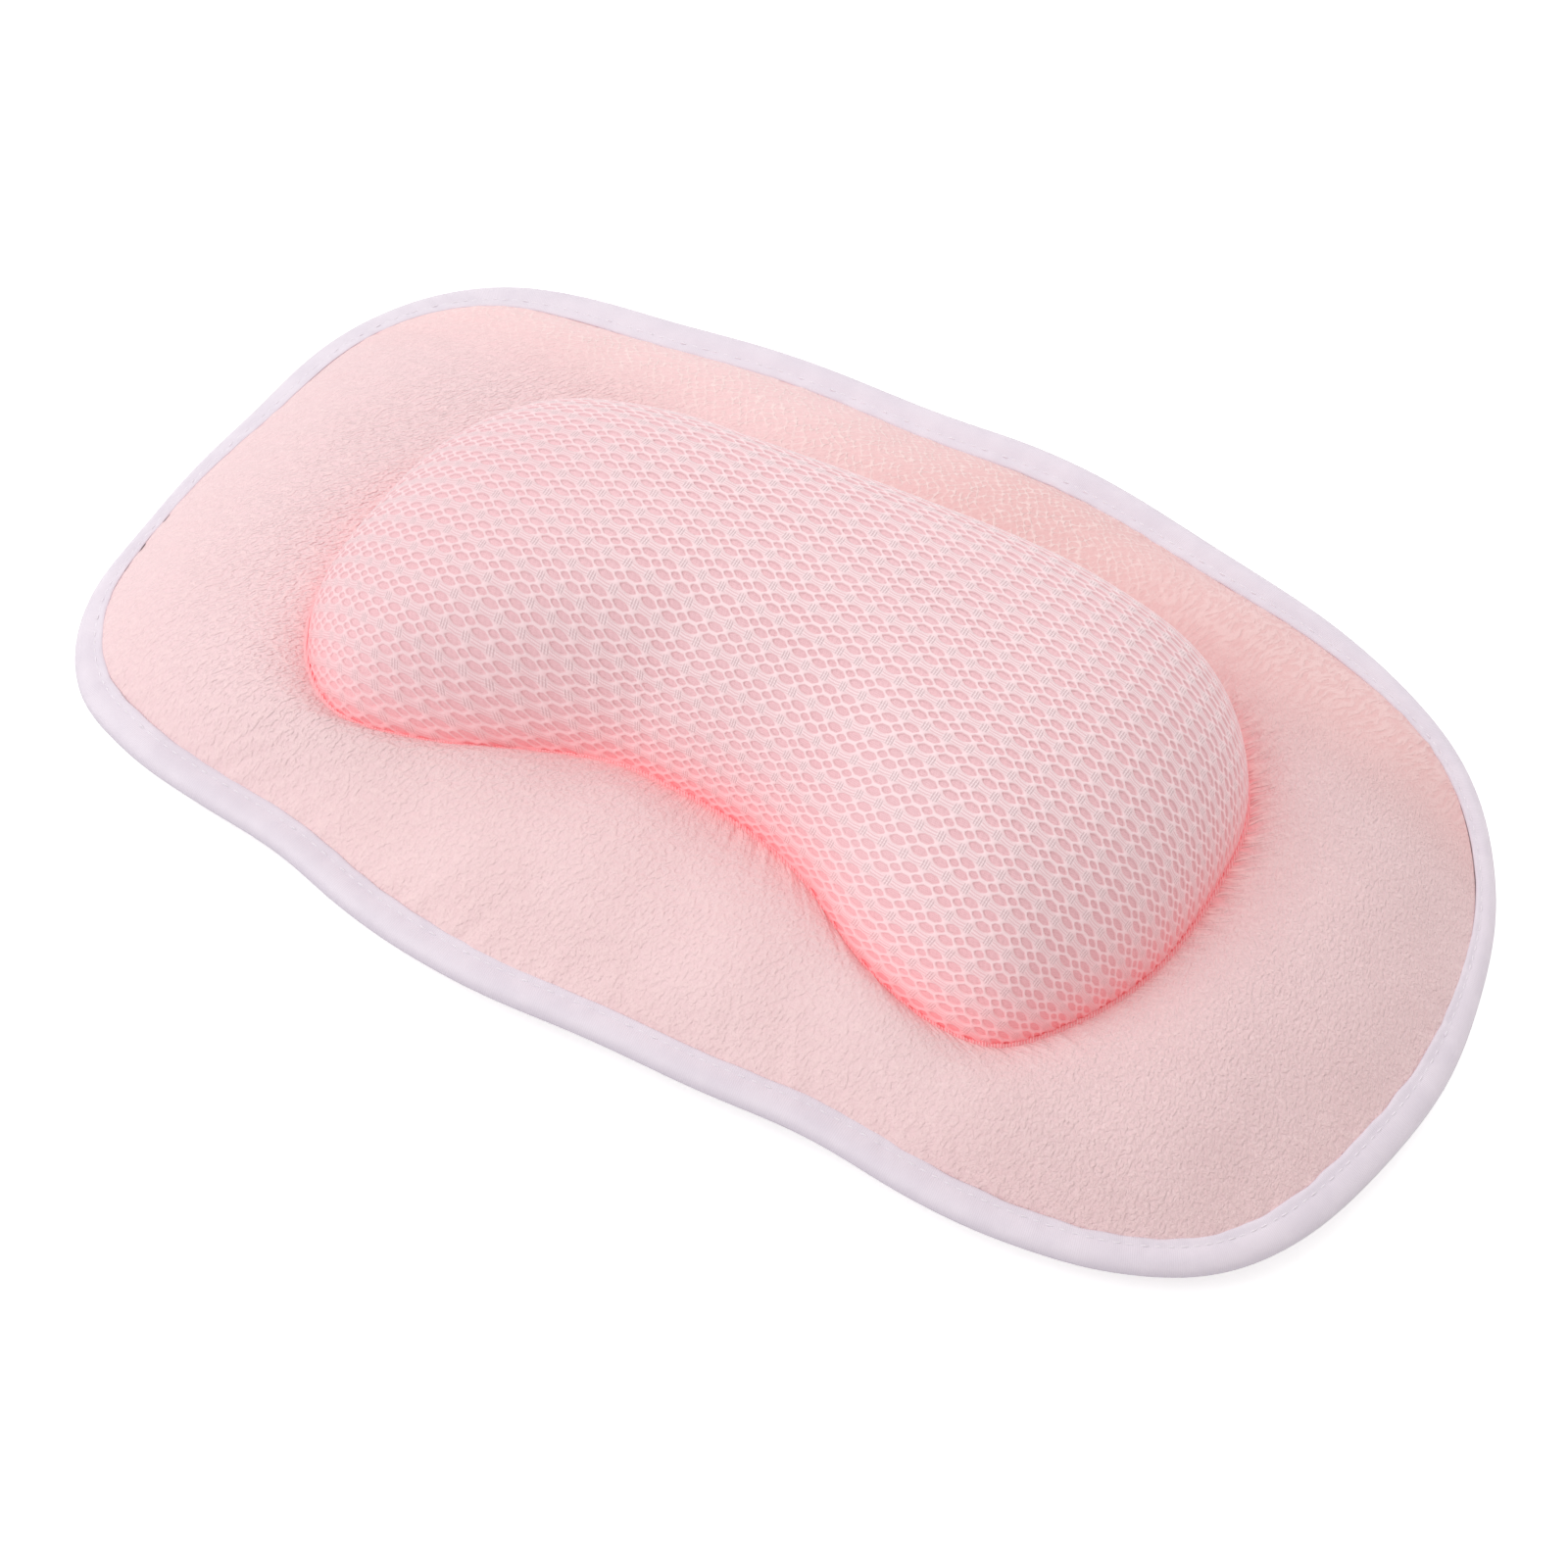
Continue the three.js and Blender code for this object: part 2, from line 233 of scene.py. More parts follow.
knitLook = {
    "base": ("#F2D1D3", "#F0CED0"), "left": "#F1D0D3",
    # painted light and shade behind the cushion: lighter at its left, darker at its right, as the
    # light falls
    "behind": ("#F5CBCC", "#ECBAB9"),           # behind the cushion, at its left and its right
    # the pleat colour is a painted sheen highlight along the gathers' streaks
    "ripple": "#F8E1DB", "crumb": "#E9BAB9", "loop": "#FDE4E0", "pleatSheen": "#FDE3E0",
    # painted light: glow and line colour the pad with the pink that the seam's crease throws back
    "glow": "#FF9498", "line": "#FA8187", "lit": "#9A383A",
    "fanPoint": (75, 380), "fanLength": 400,    # the ripples' lines meet here, behind the pad
    "loopWidth": 3.0, "loopDepth": 5.0,
    "depth": 0.26,              # of the whole relief, in millimetres, as in the looks below
}


def knitFinish():
    # Crepe knit. Fine ripples lie along lines that meet far behind the pad, with crumbs
    # between them, which are stronger at the right end. Behind the cushion pale loops
    # show, and combed streaks towards the right end. The cloth is gathered in streaks at
    # the seam and the tape, with a painted sheen highlight along the streaks. Deeper pink is
    # painted towards the seam as the light that its crease throws back, and behind the
    # cushion the cloth is painted lighter at the left and darker at the right, as the light falls.
    look = knitLook
    knit = Finish("padKnit", 0.8, Sheen_Weight=0.2, Sheen_Roughness=0.5, Emission_Strength=1.0)
    where = knit.place("weave")
    x, y, _ = knit.split(where)
    atLeft, atRight, atBack = x.ease(-20, -120), x.ease(40, 150), y.ease(45, 80)
    fan = (x - look["fanPoint"][0]) / (look["fanPoint"][1] - y) * look["fanLength"]
    ripples = knit.noise(knit.join(fan * 0.80, y * 0.45), 1.0, 1.5).ease(0.34, 0.66)
    crumbs = knit.noise(where, 1.0, 3.0).ease(0.34, 0.66)
    wobble = knit.noise(where, 0.10, 0.0)
    kinks = knit.noise(where, 0.30, 1.0)
    sway = (wobble - 0.5) * 3.5
    cellX = (x + sway + (kinks - 0.5) * 3.0) / look["loopWidth"]
    cellY = (y + sway - (kinks - 0.5) * 2.0) / look["loopDepth"]
    loops = ((cellX + cellY).sine(2.0) * (cellX - cellY).sine(2.0)).size().ease(0.50, 0.05)
    turn, run, _ = knit.split(knit.place("gather"))
    combed = atBack * x.ease(30, 90)
    gathered = knit.read("gathered").most(combed * 0.35)
    loops = loops * knit.noise(where, 0.2).ease(0.30, 0.60) * (atBack - combed)
    streak = (turn - run * 0.7) * 0.50 + wobble * 2.5       # leans as it leaves the seam
    pleats = knit.noise(knit.join(streak, run * 0.13), 1.0, 1.5).ease(0.38, 0.60)
    cloud = knit.noise(where, 0.03, 2.0)
    plain = (1 - gathered) * (1 - atBack * 0.6)
    rippled = ripples * (atLeft * run.ease(60, 5) * 0.8 + 0.85)
    relief = (rippled + crumbs * (atRight * 0.5 + 0.35)) * plain
    relief = relief + loops * 0.7 + pleats * gathered * 1.8
    colour = cloud.ease(0.35, 0.65).between(look["base"])
    colour = x.ease(-60, -140).blend(colour, tint(look["left"]))
    # painted light and shade behind the cushion: lighter at the left, darker at the right
    colour = y.ease(30, 75).blend(colour, x.ease(-70, 20).between(look["behind"]))
    colour = (ripples * plain * 0.18).blend(colour, tint(look["ripple"]))
    colour = (crumbs * plain * (atRight * 0.10 + 0.08)).blend(colour, tint(look["crumb"]))
    colour = (loops * 0.65).blend(colour, tint(look["loop"]))
    # painted sheen highlight along the gathers' streaks
    colour = (pleats * gathered * 0.85).blend(colour, tint(look["pleatSheen"]))
    # painted light near the seam: its pink glow and the coral line in its crease
    glow = knit.read("seamBounceLight") * ((1 - pleats) * gathered * 0.7 + 0.85)
    line = knit.read("seamCreaseLight")
    colour = glow.least(1.0).blend(colour, tint(look["glow"]))
    knit.colour(line.blend(colour, tint(look["line"])))
    # the light that the deep pink throws back, weaker at the right end
    lit = (glow * 0.5 + line * 0.5).least(1.0) * (1 - x.ease(60, 115) * 0.8)
    knit.feed("Emission Color", lit.between(("#000000", look["lit"])))
    return knit.bump(relief, look["depth"])


yarnLook = {
    "strand": ("#EDC2C6", "#F8DCDF"),           # its flanks and its core
    "stripe": ("#E9C3C7", "#FBE1E4"),           # between its lines and on them
    "fibre": "#F0CDCF", "knot": "#FBE6E8", "bar": "#DAB6BA",
    # painted shade on the net's front-left wall, and painted pink light that the seam throws back up
    # the net
    "leftFrontShade": "#E0B4BA", "bouncePink": "#FFA4A8", "lit": "#84363A",
    "linePitch": 0.75,          # millimetres between the stripe's lines, and the knot's bars
    "rungs": 11,                # across one repeat
    "knotRadius": (1.5, 1.1),   # where a knot starts and where it is full
    "depth": 0.12,
}


def yarnFinish():
    # Bright filament yarn: pale cores with pink flanks, lines and rungs along the
    # stripes, and short dark bars across each knot. The lattice map counts repeats.
    look = yarnLook
    yarn = Finish("netYarn", 0.62, Sheen_Weight=0.3, Sheen_Roughness=0.4, Emission_Strength=1.0)
    where = yarn.place("lattice")
    across, along, _ = yarn.split(where)
    cellX, cellY = across.wrapped() - 0.5, (along + 0.5).wrapped() - 0.5
    knotX = ((across + 0.5).wrapped() - 0.5) * bolster["repeatAlong"]
    knotY = cellY * bolster["repeatAcross"]
    stray = yarn.noise(where, 2.3, 2.0) - 0.5
    inStripe = knotY.size().ease(1.15, 0.75)
    lines = (knotY + cellX.cosine(1.0) * 0.12 + stray * 0.5).cosine(look["linePitch"]) * 0.5 + 0.5
    rungs = (across + stray * 0.05).sine(1 / look["rungs"]) * 0.5 + 0.5
    ring = (knotX * knotX + knotY * knotY) ** 0.5
    atKnot = ring.ease(*look["knotRadius"])
    bars = (knotX + stray * 0.3).cosine(look["linePitch"]).ease(0.0, 0.75) * atKnot
    core = yarn.read("strand").ease(0.55, 1.0)
    fibre = yarn.noise(where, 26.0, 2.0)
    colour = core.between(look["strand"])
    colour = (fibre * 0.2).blend(colour, tint(look["fibre"]))
    thread = (lines.ease(0.1, 0.8) * (1 - rungs * 0.3)).between(look["stripe"])
    colour = (inStripe * (1 - core * 0.5)).blend(colour, thread)
    colour = (atKnot * 0.5).blend(colour, tint(look["knot"]))
    colour = (bars * 0.65).blend(colour, tint(look["bar"]))
    relief = inStripe * lines * 0.5 + fibre * 0.2 - bars
    x, y, _ = yarn.split(yarn.place())
    # painted shade: the net's front-left wall is darker and pinker
    colour = (x.ease(-20, -110) * y.ease(40, -20) * 0.30).blend(colour, tint(look["leftFrontShade"]))
    # painted light: the pink that the seam throws back over the net
    bouncePink = yarn.read("seamBounceLight")
    yarn.colour((bouncePink ** 1.5).blend(colour, tint(look["bouncePink"])))
    yarn.feed("Emission Color", seamLight(bouncePink, x))
    return yarn.bump(relief, look["depth"])


def seamLight(bouncePink, x):
    # the light that the deep pink throws back, weaker at the right end
    return (bouncePink * (1 - x.ease(60, 115) * 0.45)).between(("#000000", yarnLook["lit"]))


foldLook = {
    # painted shade: the fold's coral is darker at the right, as the light falls; its lit colour
    # makes it glow as painted light
    "deep": ("#FFB7BB", "#F98A90"), "lit": ("#62262A", "#300F11"),      # at the left, at the right
    "pale": "#FFBBBD", "depth": 0.3,
}


def foldFinish():
    # the seam's folded edge, where net and cover are caught together; its coral is painted darker at
    # the right as shade, and it glows with painted light
    fold = Finish("seamFold", 0.7, Sheen_Weight=0.2, Emission_Strength=1.0)
    where = fold.place()
    x, y, _ = fold.split(where)
    strands = (x + y * 0.6).sine(0.9) * 0.5 + 0.5
    tangle = fold.noise(where, 0.9, 3.0)
    # painted shade: the coral darkens towards the right
    deep = x.ease(-60, 40).between(foldLook["deep"])
    fold.colour((strands * 0.4 + tangle * 0.6).ease(0.2, 0.8).blend(deep, tint(foldLook["pale"])))
    # painted light: the fold glows, less at the right end
    fold.feed("Emission Color", x.ease(60, 115).between(foldLook["lit"]))
    return fold.bump(strands * 0.5 + tangle, foldLook["depth"])


# the second pink is painted light that the seam throws back onto the ground cloth
groundLook = {"base": ("#EEC1C6", "#EFC5CA"), "bouncePink": "#FF8489", "depth": 0.2}


def groundFinish():
    # fine ribbed knit under the net, with painted pink light towards the seam
    ground = Finish(
        "groundCloth", 0.85, Sheen_Weight=0.2, Sheen_Roughness=0.5, Emission_Strength=1.0)
    where = ground.place()
    x, y, z = ground.split(where)
    ribs = (x * 0.5 + z * 0.2).sine(0.7) * 0.5 + (y + z).sine(0.7) * 0.5
    broad = ground.noise(where, 0.03)
    colour = broad.ease(0.35, 0.65).between(groundLook["base"])
    # painted light towards the seam
    bouncePink = ground.read("seamBounceLight")
    ground.colour((bouncePink ** 1.5).blend(colour, tint(groundLook["bouncePink"])))
    ground.feed("Emission Color", seamLight(bouncePink, x))
    return ground.bump(ribs * 0.3 + ground.noise(where, 1.6) * 0.4, groundLook["depth"])


tapeLook = {
    # painted shade: the tape is darker round its fold, where it turns under
    "base": ("#E2D7E1", "#E9DEE7"), "foldShade": "#CFC4D0", "rib": "#BFB3C0",
    "ribPitch": 0.55,           # millimetres
    "foldFrom": (8.5, 12.0), "foldTo": (22.0, 16.0),        # millimetres across the tape
    "depth": 0.16,
}


def tapeFinish():
    # satin woven tape: fine ribs square to the edge, and painted shade round the fold, where the
    # tape turns under
    look = tapeLook
    tape = Finish("bindingTape", 0.5, Sheen_Weight=0.3, Sheen_Roughness=0.35)
    where = tape.place("weave")
    along, across, _ = tape.split(where)
    ribs = along.sine(look["ribPitch"]) * 0.5 + 0.5
    cloud = tape.noise(where, 0.09, 2.0)
    colour = cloud.ease(0.3, 0.7).between(look["base"])
    atFold = across.ease(*look["foldFrom"]) * across.ease(*look["foldTo"])
    # painted shade round the fold
    colour = atFold.blend(colour, tint(look["foldShade"]))
    tape.colour((ribs * 0.15).blend(colour, tint(look["rib"])))
    return tape.bump(ribs * 0.30 + tape.noise(where, 0.5, 3.0) * 0.5, look["depth"])


threadLook = {"base": ("#F5EDF3", "#EBE1E9"), "twist": 0.5, "depth": 0.06}


def threadFinish():
    # sewing thread, its twist shown as slanting bands
    thread = Finish("stitchThread", 0.55, Sheen_Weight=0.3)
    where = thread.place()
    x, y, _ = thread.split(where)
    twist = (x + y).sine(threadLook["twist"]) * 0.5 + 0.5
    thread.colour((twist * 0.4).between(threadLook["base"]))
    return thread.bump(twist, threadLook["depth"])


def wovenFinish(name, pair, pitch, depth, roughness=0.85):
    # plain weave on the piece's own place: warp and weft alternate over and under
    woven = Finish(name, roughness, Sheen_Weight=0.15)
    where = woven.place()
    x, y, _ = woven.split(where)
    warp, weft = x.sine(pitch), y.sine(pitch)
    check = warp * weft * 0.5 + 0.5
    slub = woven.noise(where, 0.25, 3.0)
    woven.colour((check * 0.35 + slub * 0.65).ease(0.2, 0.8).between(pair))
    return woven.bump(check * 0.6 + slub * 0.6, depth)


def paddingFinish(name, pair, scale, roughness):
    # fibres or foam cells: a coarse noise and one six times finer
    padding = Finish(name, roughness)
    where = padding.place()
    coarse, fine = padding.noise(where, scale, 3.0), padding.noise(where, scale * 6, 4.0)
    padding.colour((coarse * 0.5 + fine * 0.5).ease(0.3, 0.7).between(pair))
    return padding.bump(coarse * 0.6 + fine * 0.4, 1.0)


vinylLook = {"base": ("#DCE9F1", "#EEF5F9"), "clear": 0.75, "bend": 1.52, "depth": 0.12}


def vinylFinish():
    # soft clear vinyl, a little cloudy, with faint flow marks
    vinyl = Finish("clearVinyl", Transmission_Weight=vinylLook["clear"], IOR=vinylLook["bend"])
    where = vinyl.place()
    cloud = vinyl.noise(where, 0.07, 2.0)
    vinyl.colour(cloud.ease(0.3, 0.7).between(vinylLook["base"]))
    vinyl.feed("Roughness", cloud * 0.12 + 0.1)
    return vinyl.bump(vinyl.noise(where, 0.3, 2.0), vinylLook["depth"])


washerLook = {"base": ("#EDEDEA", "#F7F7F4"), "depth": 0.08}


def mouldedFinish():
    # hard plastic with a fine moulded grain
    moulded = Finish("washerPlastic", 0.4)
    where = moulded.place()
    grain = moulded.noise(where, 1.2, 3.0)
    moulded.colour(grain.ease(0.3, 0.7).between(washerLook["base"]))
    return moulded.bump(grain, washerLook["depth"])


def gridFaces(columns, rows, closedRows=False):
    # quads of a grid whose columns close on themselves, with corner places that
    # don't wrap, so that a map can run past its seam
    rowCount = rows if closedRows else rows - 1
    i, j = np.meshgrid(np.arange(columns), np.arange(rowCount), indexing="ij")
    cornerI = np.stack([i, i + 1, i + 1, i], -1).reshape(-1, 4)
    cornerJ = np.stack([j, j, j + 1, j + 1], -1).reshape(-1, 4)
    faces = (cornerI % columns) * rows + cornerJ % rows
    return faces, cornerI, cornerJ


def makePiece(name, points, faces, material, maps=None, fields=None, loose=None):
    # points in millimetres; faces is one array of quads or triangles, loose another
    mesh = bpy.data.meshes.new(name)
    polygons = faces.tolist() + (loose.tolist() if loose is not None else [])
    mesh.from_pydata(points.reshape(-1, 3) / 1000, [], polygons)
    mesh.polygons.foreach_set("use_smooth", np.ones(len(polygons), bool))
    for field, values in (fields or {}).items():
        layer = mesh.attributes.new(field, "FLOAT", "POINT")
        layer.data.foreach_set("value", values.reshape(-1).astype(np.float32))
    for mapName, corners in (maps or {}).items():
        layer = mesh.uv_layers.new(name=mapName)
        layer.data.foreach_set("uv", corners.reshape(-1).astype(np.float32))
    mesh.materials.append(material)
    mesh.update()
    piece = bpy.data.objects.new(name, mesh)
    scene.collection.objects.link(piece)
    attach(piece, "root")
    return piece


def zipAcross(ring):
    # triangles across a long narrow ring: it is cut at its two ends, and each edge of
    # one side takes the furthest point of the other side that it has already passed
    order = np.roll(np.arange(len(ring)), -ring[:, 0].argmin())
    x = ring[order, 0]
    turn = x.argmax()
    front, back = order[:turn + 1], np.append(order[turn:], order[0])[::-1]
    sides = []
    for side, other, last in ((front, back, "left"), (back, front, "right")):
        passed = np.searchsorted(ring[other, 0], ring[side[1:], 0], last) - 1
        apex = other[np.clip(passed, 0, len(other) - 1)]
        sides.append(np.stack([side[:-1], side[1:], apex], -1))
    faces = np.vstack([sides[0], sides[1][:, ::-1]])
    a, b, c = faces.T
    return faces[(a != b) & (b != c) & (a != c)]


def capped(rings, low, high):
    # a stack of rings [columns, rows, 3], closed at either end by a fan to a point or,
    # where no point is given, by a strip across the ring
    columns, rows = rings.shape[:2]
    points = rings.reshape(-1, 3)
    i = np.arange(columns)
    after = (i + 1) % columns
    loose = []
    for end, tip, turned in ((0, low, True), (rows - 1, high, False)):
        if tip is None:
            faces = zipAcross(rings[:, end]) * rows + end
        else:
            peak = np.full(columns, len(points))
            faces = np.stack([i * rows + end, after * rows + end, peak], -1)
            points = np.vstack([points, tip])
        loose.append(faces[:, ::-1] if turned else faces)
    return points, gridFaces(columns, rows)[0], np.vstack(loose)


waveRoom = 1.6      # a sum of waves over this stays mostly within -1 to 1


def ripple(waves):
    # for each column, a sum of sines that fit the rim's length a whole number of times
    shortest, longest, count = waves
    turns = np.unique(np.round(rimLength / rng.uniform(shortest, longest, count)))
    phases = rng.uniform(0, 2 * np.pi, turns.size)
    weights = rng.uniform(0.5, 1, turns.size)
    sines = np.sin(2 * np.pi * np.multiply.outer(rimPlace, turns) / rimLength + phases) * weights
    return (sines.sum(-1) / np.sqrt((weights ** 2).sum() / 2) / waveRoom)[:, None]


def swell(waves, x, y):
    # for each place, a sum of plane waves in random directions
    longest, shortest, count = waves
    angles, phases = rng.uniform(0, 2 * np.pi, count), rng.uniform(0, 2 * np.pi, count)
    pitches = rng.uniform(shortest, longest, count)
    total = np.zeros(np.broadcast(x, y).shape)
    for angle, phase, pitch in zip(angles, phases, pitches):
        total += np.sin(2 * np.pi * (x * np.cos(angle) + y * np.sin(angle)) / pitch + phase)
    return total / np.sqrt(count / 2) / waveRoom


plan = {
    "padLength": 400.0,
    "bolsterLength": 260.0,
    "bolsterForward": 10.0,
    "bearings": [               # degrees from the right end, round by the back
        0, 15, 30, 45, 60, 75, 90, 105, 120, 135, 150, 165, 180, 192, 203,
        212, 219, 225, 232, 241, 255, 270, 285, 299, 308, 315, 322, 331, 344],
    "rimShares": [              # of half the pad's length, out to the rim
        0.993, 0.965, 0.911, 0.796, 0.7, 0.667, 0.649, 0.644, 0.697, 0.798,
        0.965, 1.014, 0.993, 1.003, 1.038, 1.012, 0.927, 0.849, 0.776, 0.733,
        0.677, 0.646, 0.66, 0.707, 0.785, 0.864, 0.942, 1.002, 1.009],
    "seamShares": [             # of half the bolster's length, out to the seam
        0.958, 0.954, 0.885, 0.712, 0.573, 0.492, 0.458, 0.457, 0.488, 0.565,
        0.73, 0.913, 0.99, 1.021, 1.057, 1.039, 0.977, 0.795, 0.57, 0.454,
        0.402, 0.389, 0.414, 0.505, 0.693, 0.85, 0.954, 0.972, 0.974],
    "spanSteps": 60,            # curve points between two bearings
    "smoothing": 5.0,           # millimetres over which the plan curves are eased
    "rollSmoothing": 25.0,      # columns over which the rim's roll is eased
    "columns": 1160,            # round the rim and the seam
    "easeBearings": [
        0, 8, 25, 50, 60, 71, 83, 96, 108, 129, 138, 145, 152, 160, 168, 184, 192,
        200, 208, 215, 221, 229, 238, 249, 260, 272, 285, 296, 306, 314, 321, 328, 336, 344],
    "easeOutward": [            # how far the tape's fold lies outside the smooth plan there
        0.6, 0.3, 0.5, 0.2, 0.3, -1.0, -2.0, -2.3, -0.8, -0.4, -1.2, -2.5,
        0.3, 1.5, -0.4, 0.8, 1.5, -1.0, 1.9, 2.8, 5.6, 4.0, 1.1, 3.1,
        4.1, -0.1, 0.0, -0.1, 3.3, 1.2, 0.0, 2.0, 1.2, -0.2],
    "easeSpread": 12.0,         # columns over which those are eased
}
levels = {
    # heights above the floor, the tape's at the middle of its sewn edge
    "tape": 13.1, "backUnder": 14.1, "backTop": 15.3,
    "waddingTop": 26.0, "domeBase": 27.4, "seamTop": 30.4,
    "padInset": 10.3,           # from the tape's fold to where the back cover turns level
    "coverOut": 1.35, "coverIn": 0.15,          # a cover's two faces, from the sewn edge's middle
    "frontRoll": 12.0, "backRoll": 0.0, "leftRoll": 34.0, "rightRoll": 27.0,    # degrees
    "tapeWidth": 10.0,
    "legBearings": [
        0, 10, 18, 30, 50, 75, 96, 115, 145, 165, 180, 192, 205,
        215, 225, 238, 249, 260, 272, 285, 296, 306, 314, 322, 342],
    "legs": [                   # width of the tape's top leg at those bearings
        10.4, 6.6, 6.8, 8.4, 11.6, 13.2, 14.2, 12.0, 15.0, 13.0, 11.6, 4.6, 9.5,
        10.2, 10.3, 10.0, 10.6, 10.1, 9.0, 9.8, 9.4, 10.8, 9.6, 8.8, 10.8],
}


def splineThrough(points, steps):
    # closed centripetal Catmull-Rom: each span is a cubic whose end slopes follow
    # the square roots of the neighbouring point distances
    before, after, later = (np.roll(points, shift, 0) for shift in (1, -1, -2))
    gap = np.sqrt(np.linalg.norm(after - points, axis=1))[:, None]
    gapBefore, gapAfter = np.roll(gap, 1, 0), np.roll(gap, -1, 0)
    direct = (after - points) / gap
    slopeIn = ((points - before) / gapBefore - (after - before) / (gapBefore + gap) + direct) * gap
    slopeOut = (direct - (later - points) / (gap + gapAfter) + (later - after) / gapAfter) * gap
    t = (np.arange(steps) / steps)[None, :, None]
    start, end, slopeIn, slopeOut = (a[:, None, :] for a in (points, after, slopeIn, slopeOut))
    cubic = (start * (2 * t ** 3 - 3 * t ** 2 + 1) + slopeIn * (t ** 3 - 2 * t ** 2 + t)
             + end * (3 * t ** 2 - 2 * t ** 3) + slopeOut * (t ** 3 - t ** 2))
    return cubic.reshape(-1, 2)


def eased(values, spread):
    # closed curve smoothed by a Gaussian whose width is given in samples
    turns = np.fft.fftfreq(len(values))
    kernel = np.exp(-2 * (np.pi * turns * spread) ** 2)
    return np.fft.ifft(np.fft.fft(values, axis=0) * kernel[:, None], axis=0).real


def planCurves():
    # splines through the shares along each bearing, read at even steps of the rim's
    # length, so that a column of the rim and the same column of the seam belong together
    bearings = np.radians(plan["bearings"])
    spokes = np.stack([np.cos(bearings), np.sin(bearings)], -1)
    curves = []
    for shares, length in (("rimShares", "padLength"), ("seamShares", "bolsterLength")):
        points = spokes * np.array(plan[shares])[:, None] * plan[length] / 2
        curves.append(splineThrough(points, plan["spanSteps"]))
    rim, seam = curves
    seam[:, 1] -= plan["bolsterForward"]
    rim -= (rim.max(0) + rim.min(0)) / 2        # centred on the origin
    lengths = np.linalg.norm(np.roll(rim, -1, 0) - rim, axis=1)
    run = np.concatenate([[0], np.cumsum(lengths)])
    wanted = np.arange(plan["columns"]) / plan["columns"] * run[-1]
    pick = np.interp(wanted, run, np.arange(len(run)))
    for number, curve in enumerate(curves):
        closed = np.vstack([curve, curve[:1]])
        at = np.arange(len(closed))
        even = np.stack([np.interp(pick, at, closed[:, axis]) for axis in range(2)], -1)
        curves[number] = eased(even, plan["smoothing"] * plan["columns"] / run[-1])
    return *curves, run[-1], wanted


rim, seam, rimLength, rimPlace = planCurves()
bearing = np.degrees(np.arctan2(rim[:, 1], rim[:, 0])) % 360
outward = np.interp(bearing, plan["easeBearings"], plan["easeOutward"], period=360)[:, None]
rim += rim / np.linalg.norm(rim, axis=1)[:, None] * eased(outward, plan["easeSpread"])
along = np.roll(rim, -1, 0) - np.roll(rim, 1, 0)
along /= np.linalg.norm(along, axis=1)[:, None]
inward = np.stack([-along[:, 1], along[:, 0]], -1)
middle = np.array([0.0, -plan["bolsterForward"]])
# the rim rolls down by the side's angle, and by the end's angle towards either end
endShare = np.clip((2 * rim[:, 0] / plan["padLength"]) ** 4, 0, 1)
sideRoll = np.where(rim[:, 1] < 0, levels["frontRoll"], levels["backRoll"])
endRoll = np.where(rim[:, 0] < 0, levels["leftRoll"], levels["rightRoll"])
roll = eased((sideRoll + (endRoll - sideRoll) * endShare)[:, None], plan["rollSmoothing"])
roll = np.radians(roll[:, 0])
topLeg = np.interp(bearing, levels["legBearings"], levels["legs"], period=360)[:, None]
topLeg = eased(topLeg, plan["rollSmoothing"])


def edgePoints(inset, lift, extra=0.0):
    # inset runs inward from the fold, lift rises from the middle of the sewn edge,
    # and both turn with the roll of the rim; extra moves the fold outward
    inset, lift = np.broadcast_arrays(np.atleast_2d(inset), np.atleast_2d(lift))
    turn = roll[:, None]
    out = inset * np.cos(turn) - lift * np.sin(turn) - extra
    height = levels["tape"] - (levels["tapeWidth"] - inset) * np.sin(turn) + lift * np.cos(turn)
    flat = rim[:, None, :] + inward[:, None, :] * out[..., None]
    return np.concatenate([flat, height[..., None]], -1)


def seamPoints(offset, height):
    # the seam moved along its reach from the bolster's middle
    reach = seam - middle
    size = np.linalg.norm(reach, axis=1)[:, None]
    offset, height = np.broadcast_arrays(np.atleast_2d(offset), np.atleast_2d(height))
    scale = 1 + offset / size
    flat = middle + reach[:, None, :] * scale[..., None]
    height = np.broadcast_to(height, flat.shape[:2])
    return np.concatenate([flat, height[..., None]], -1)


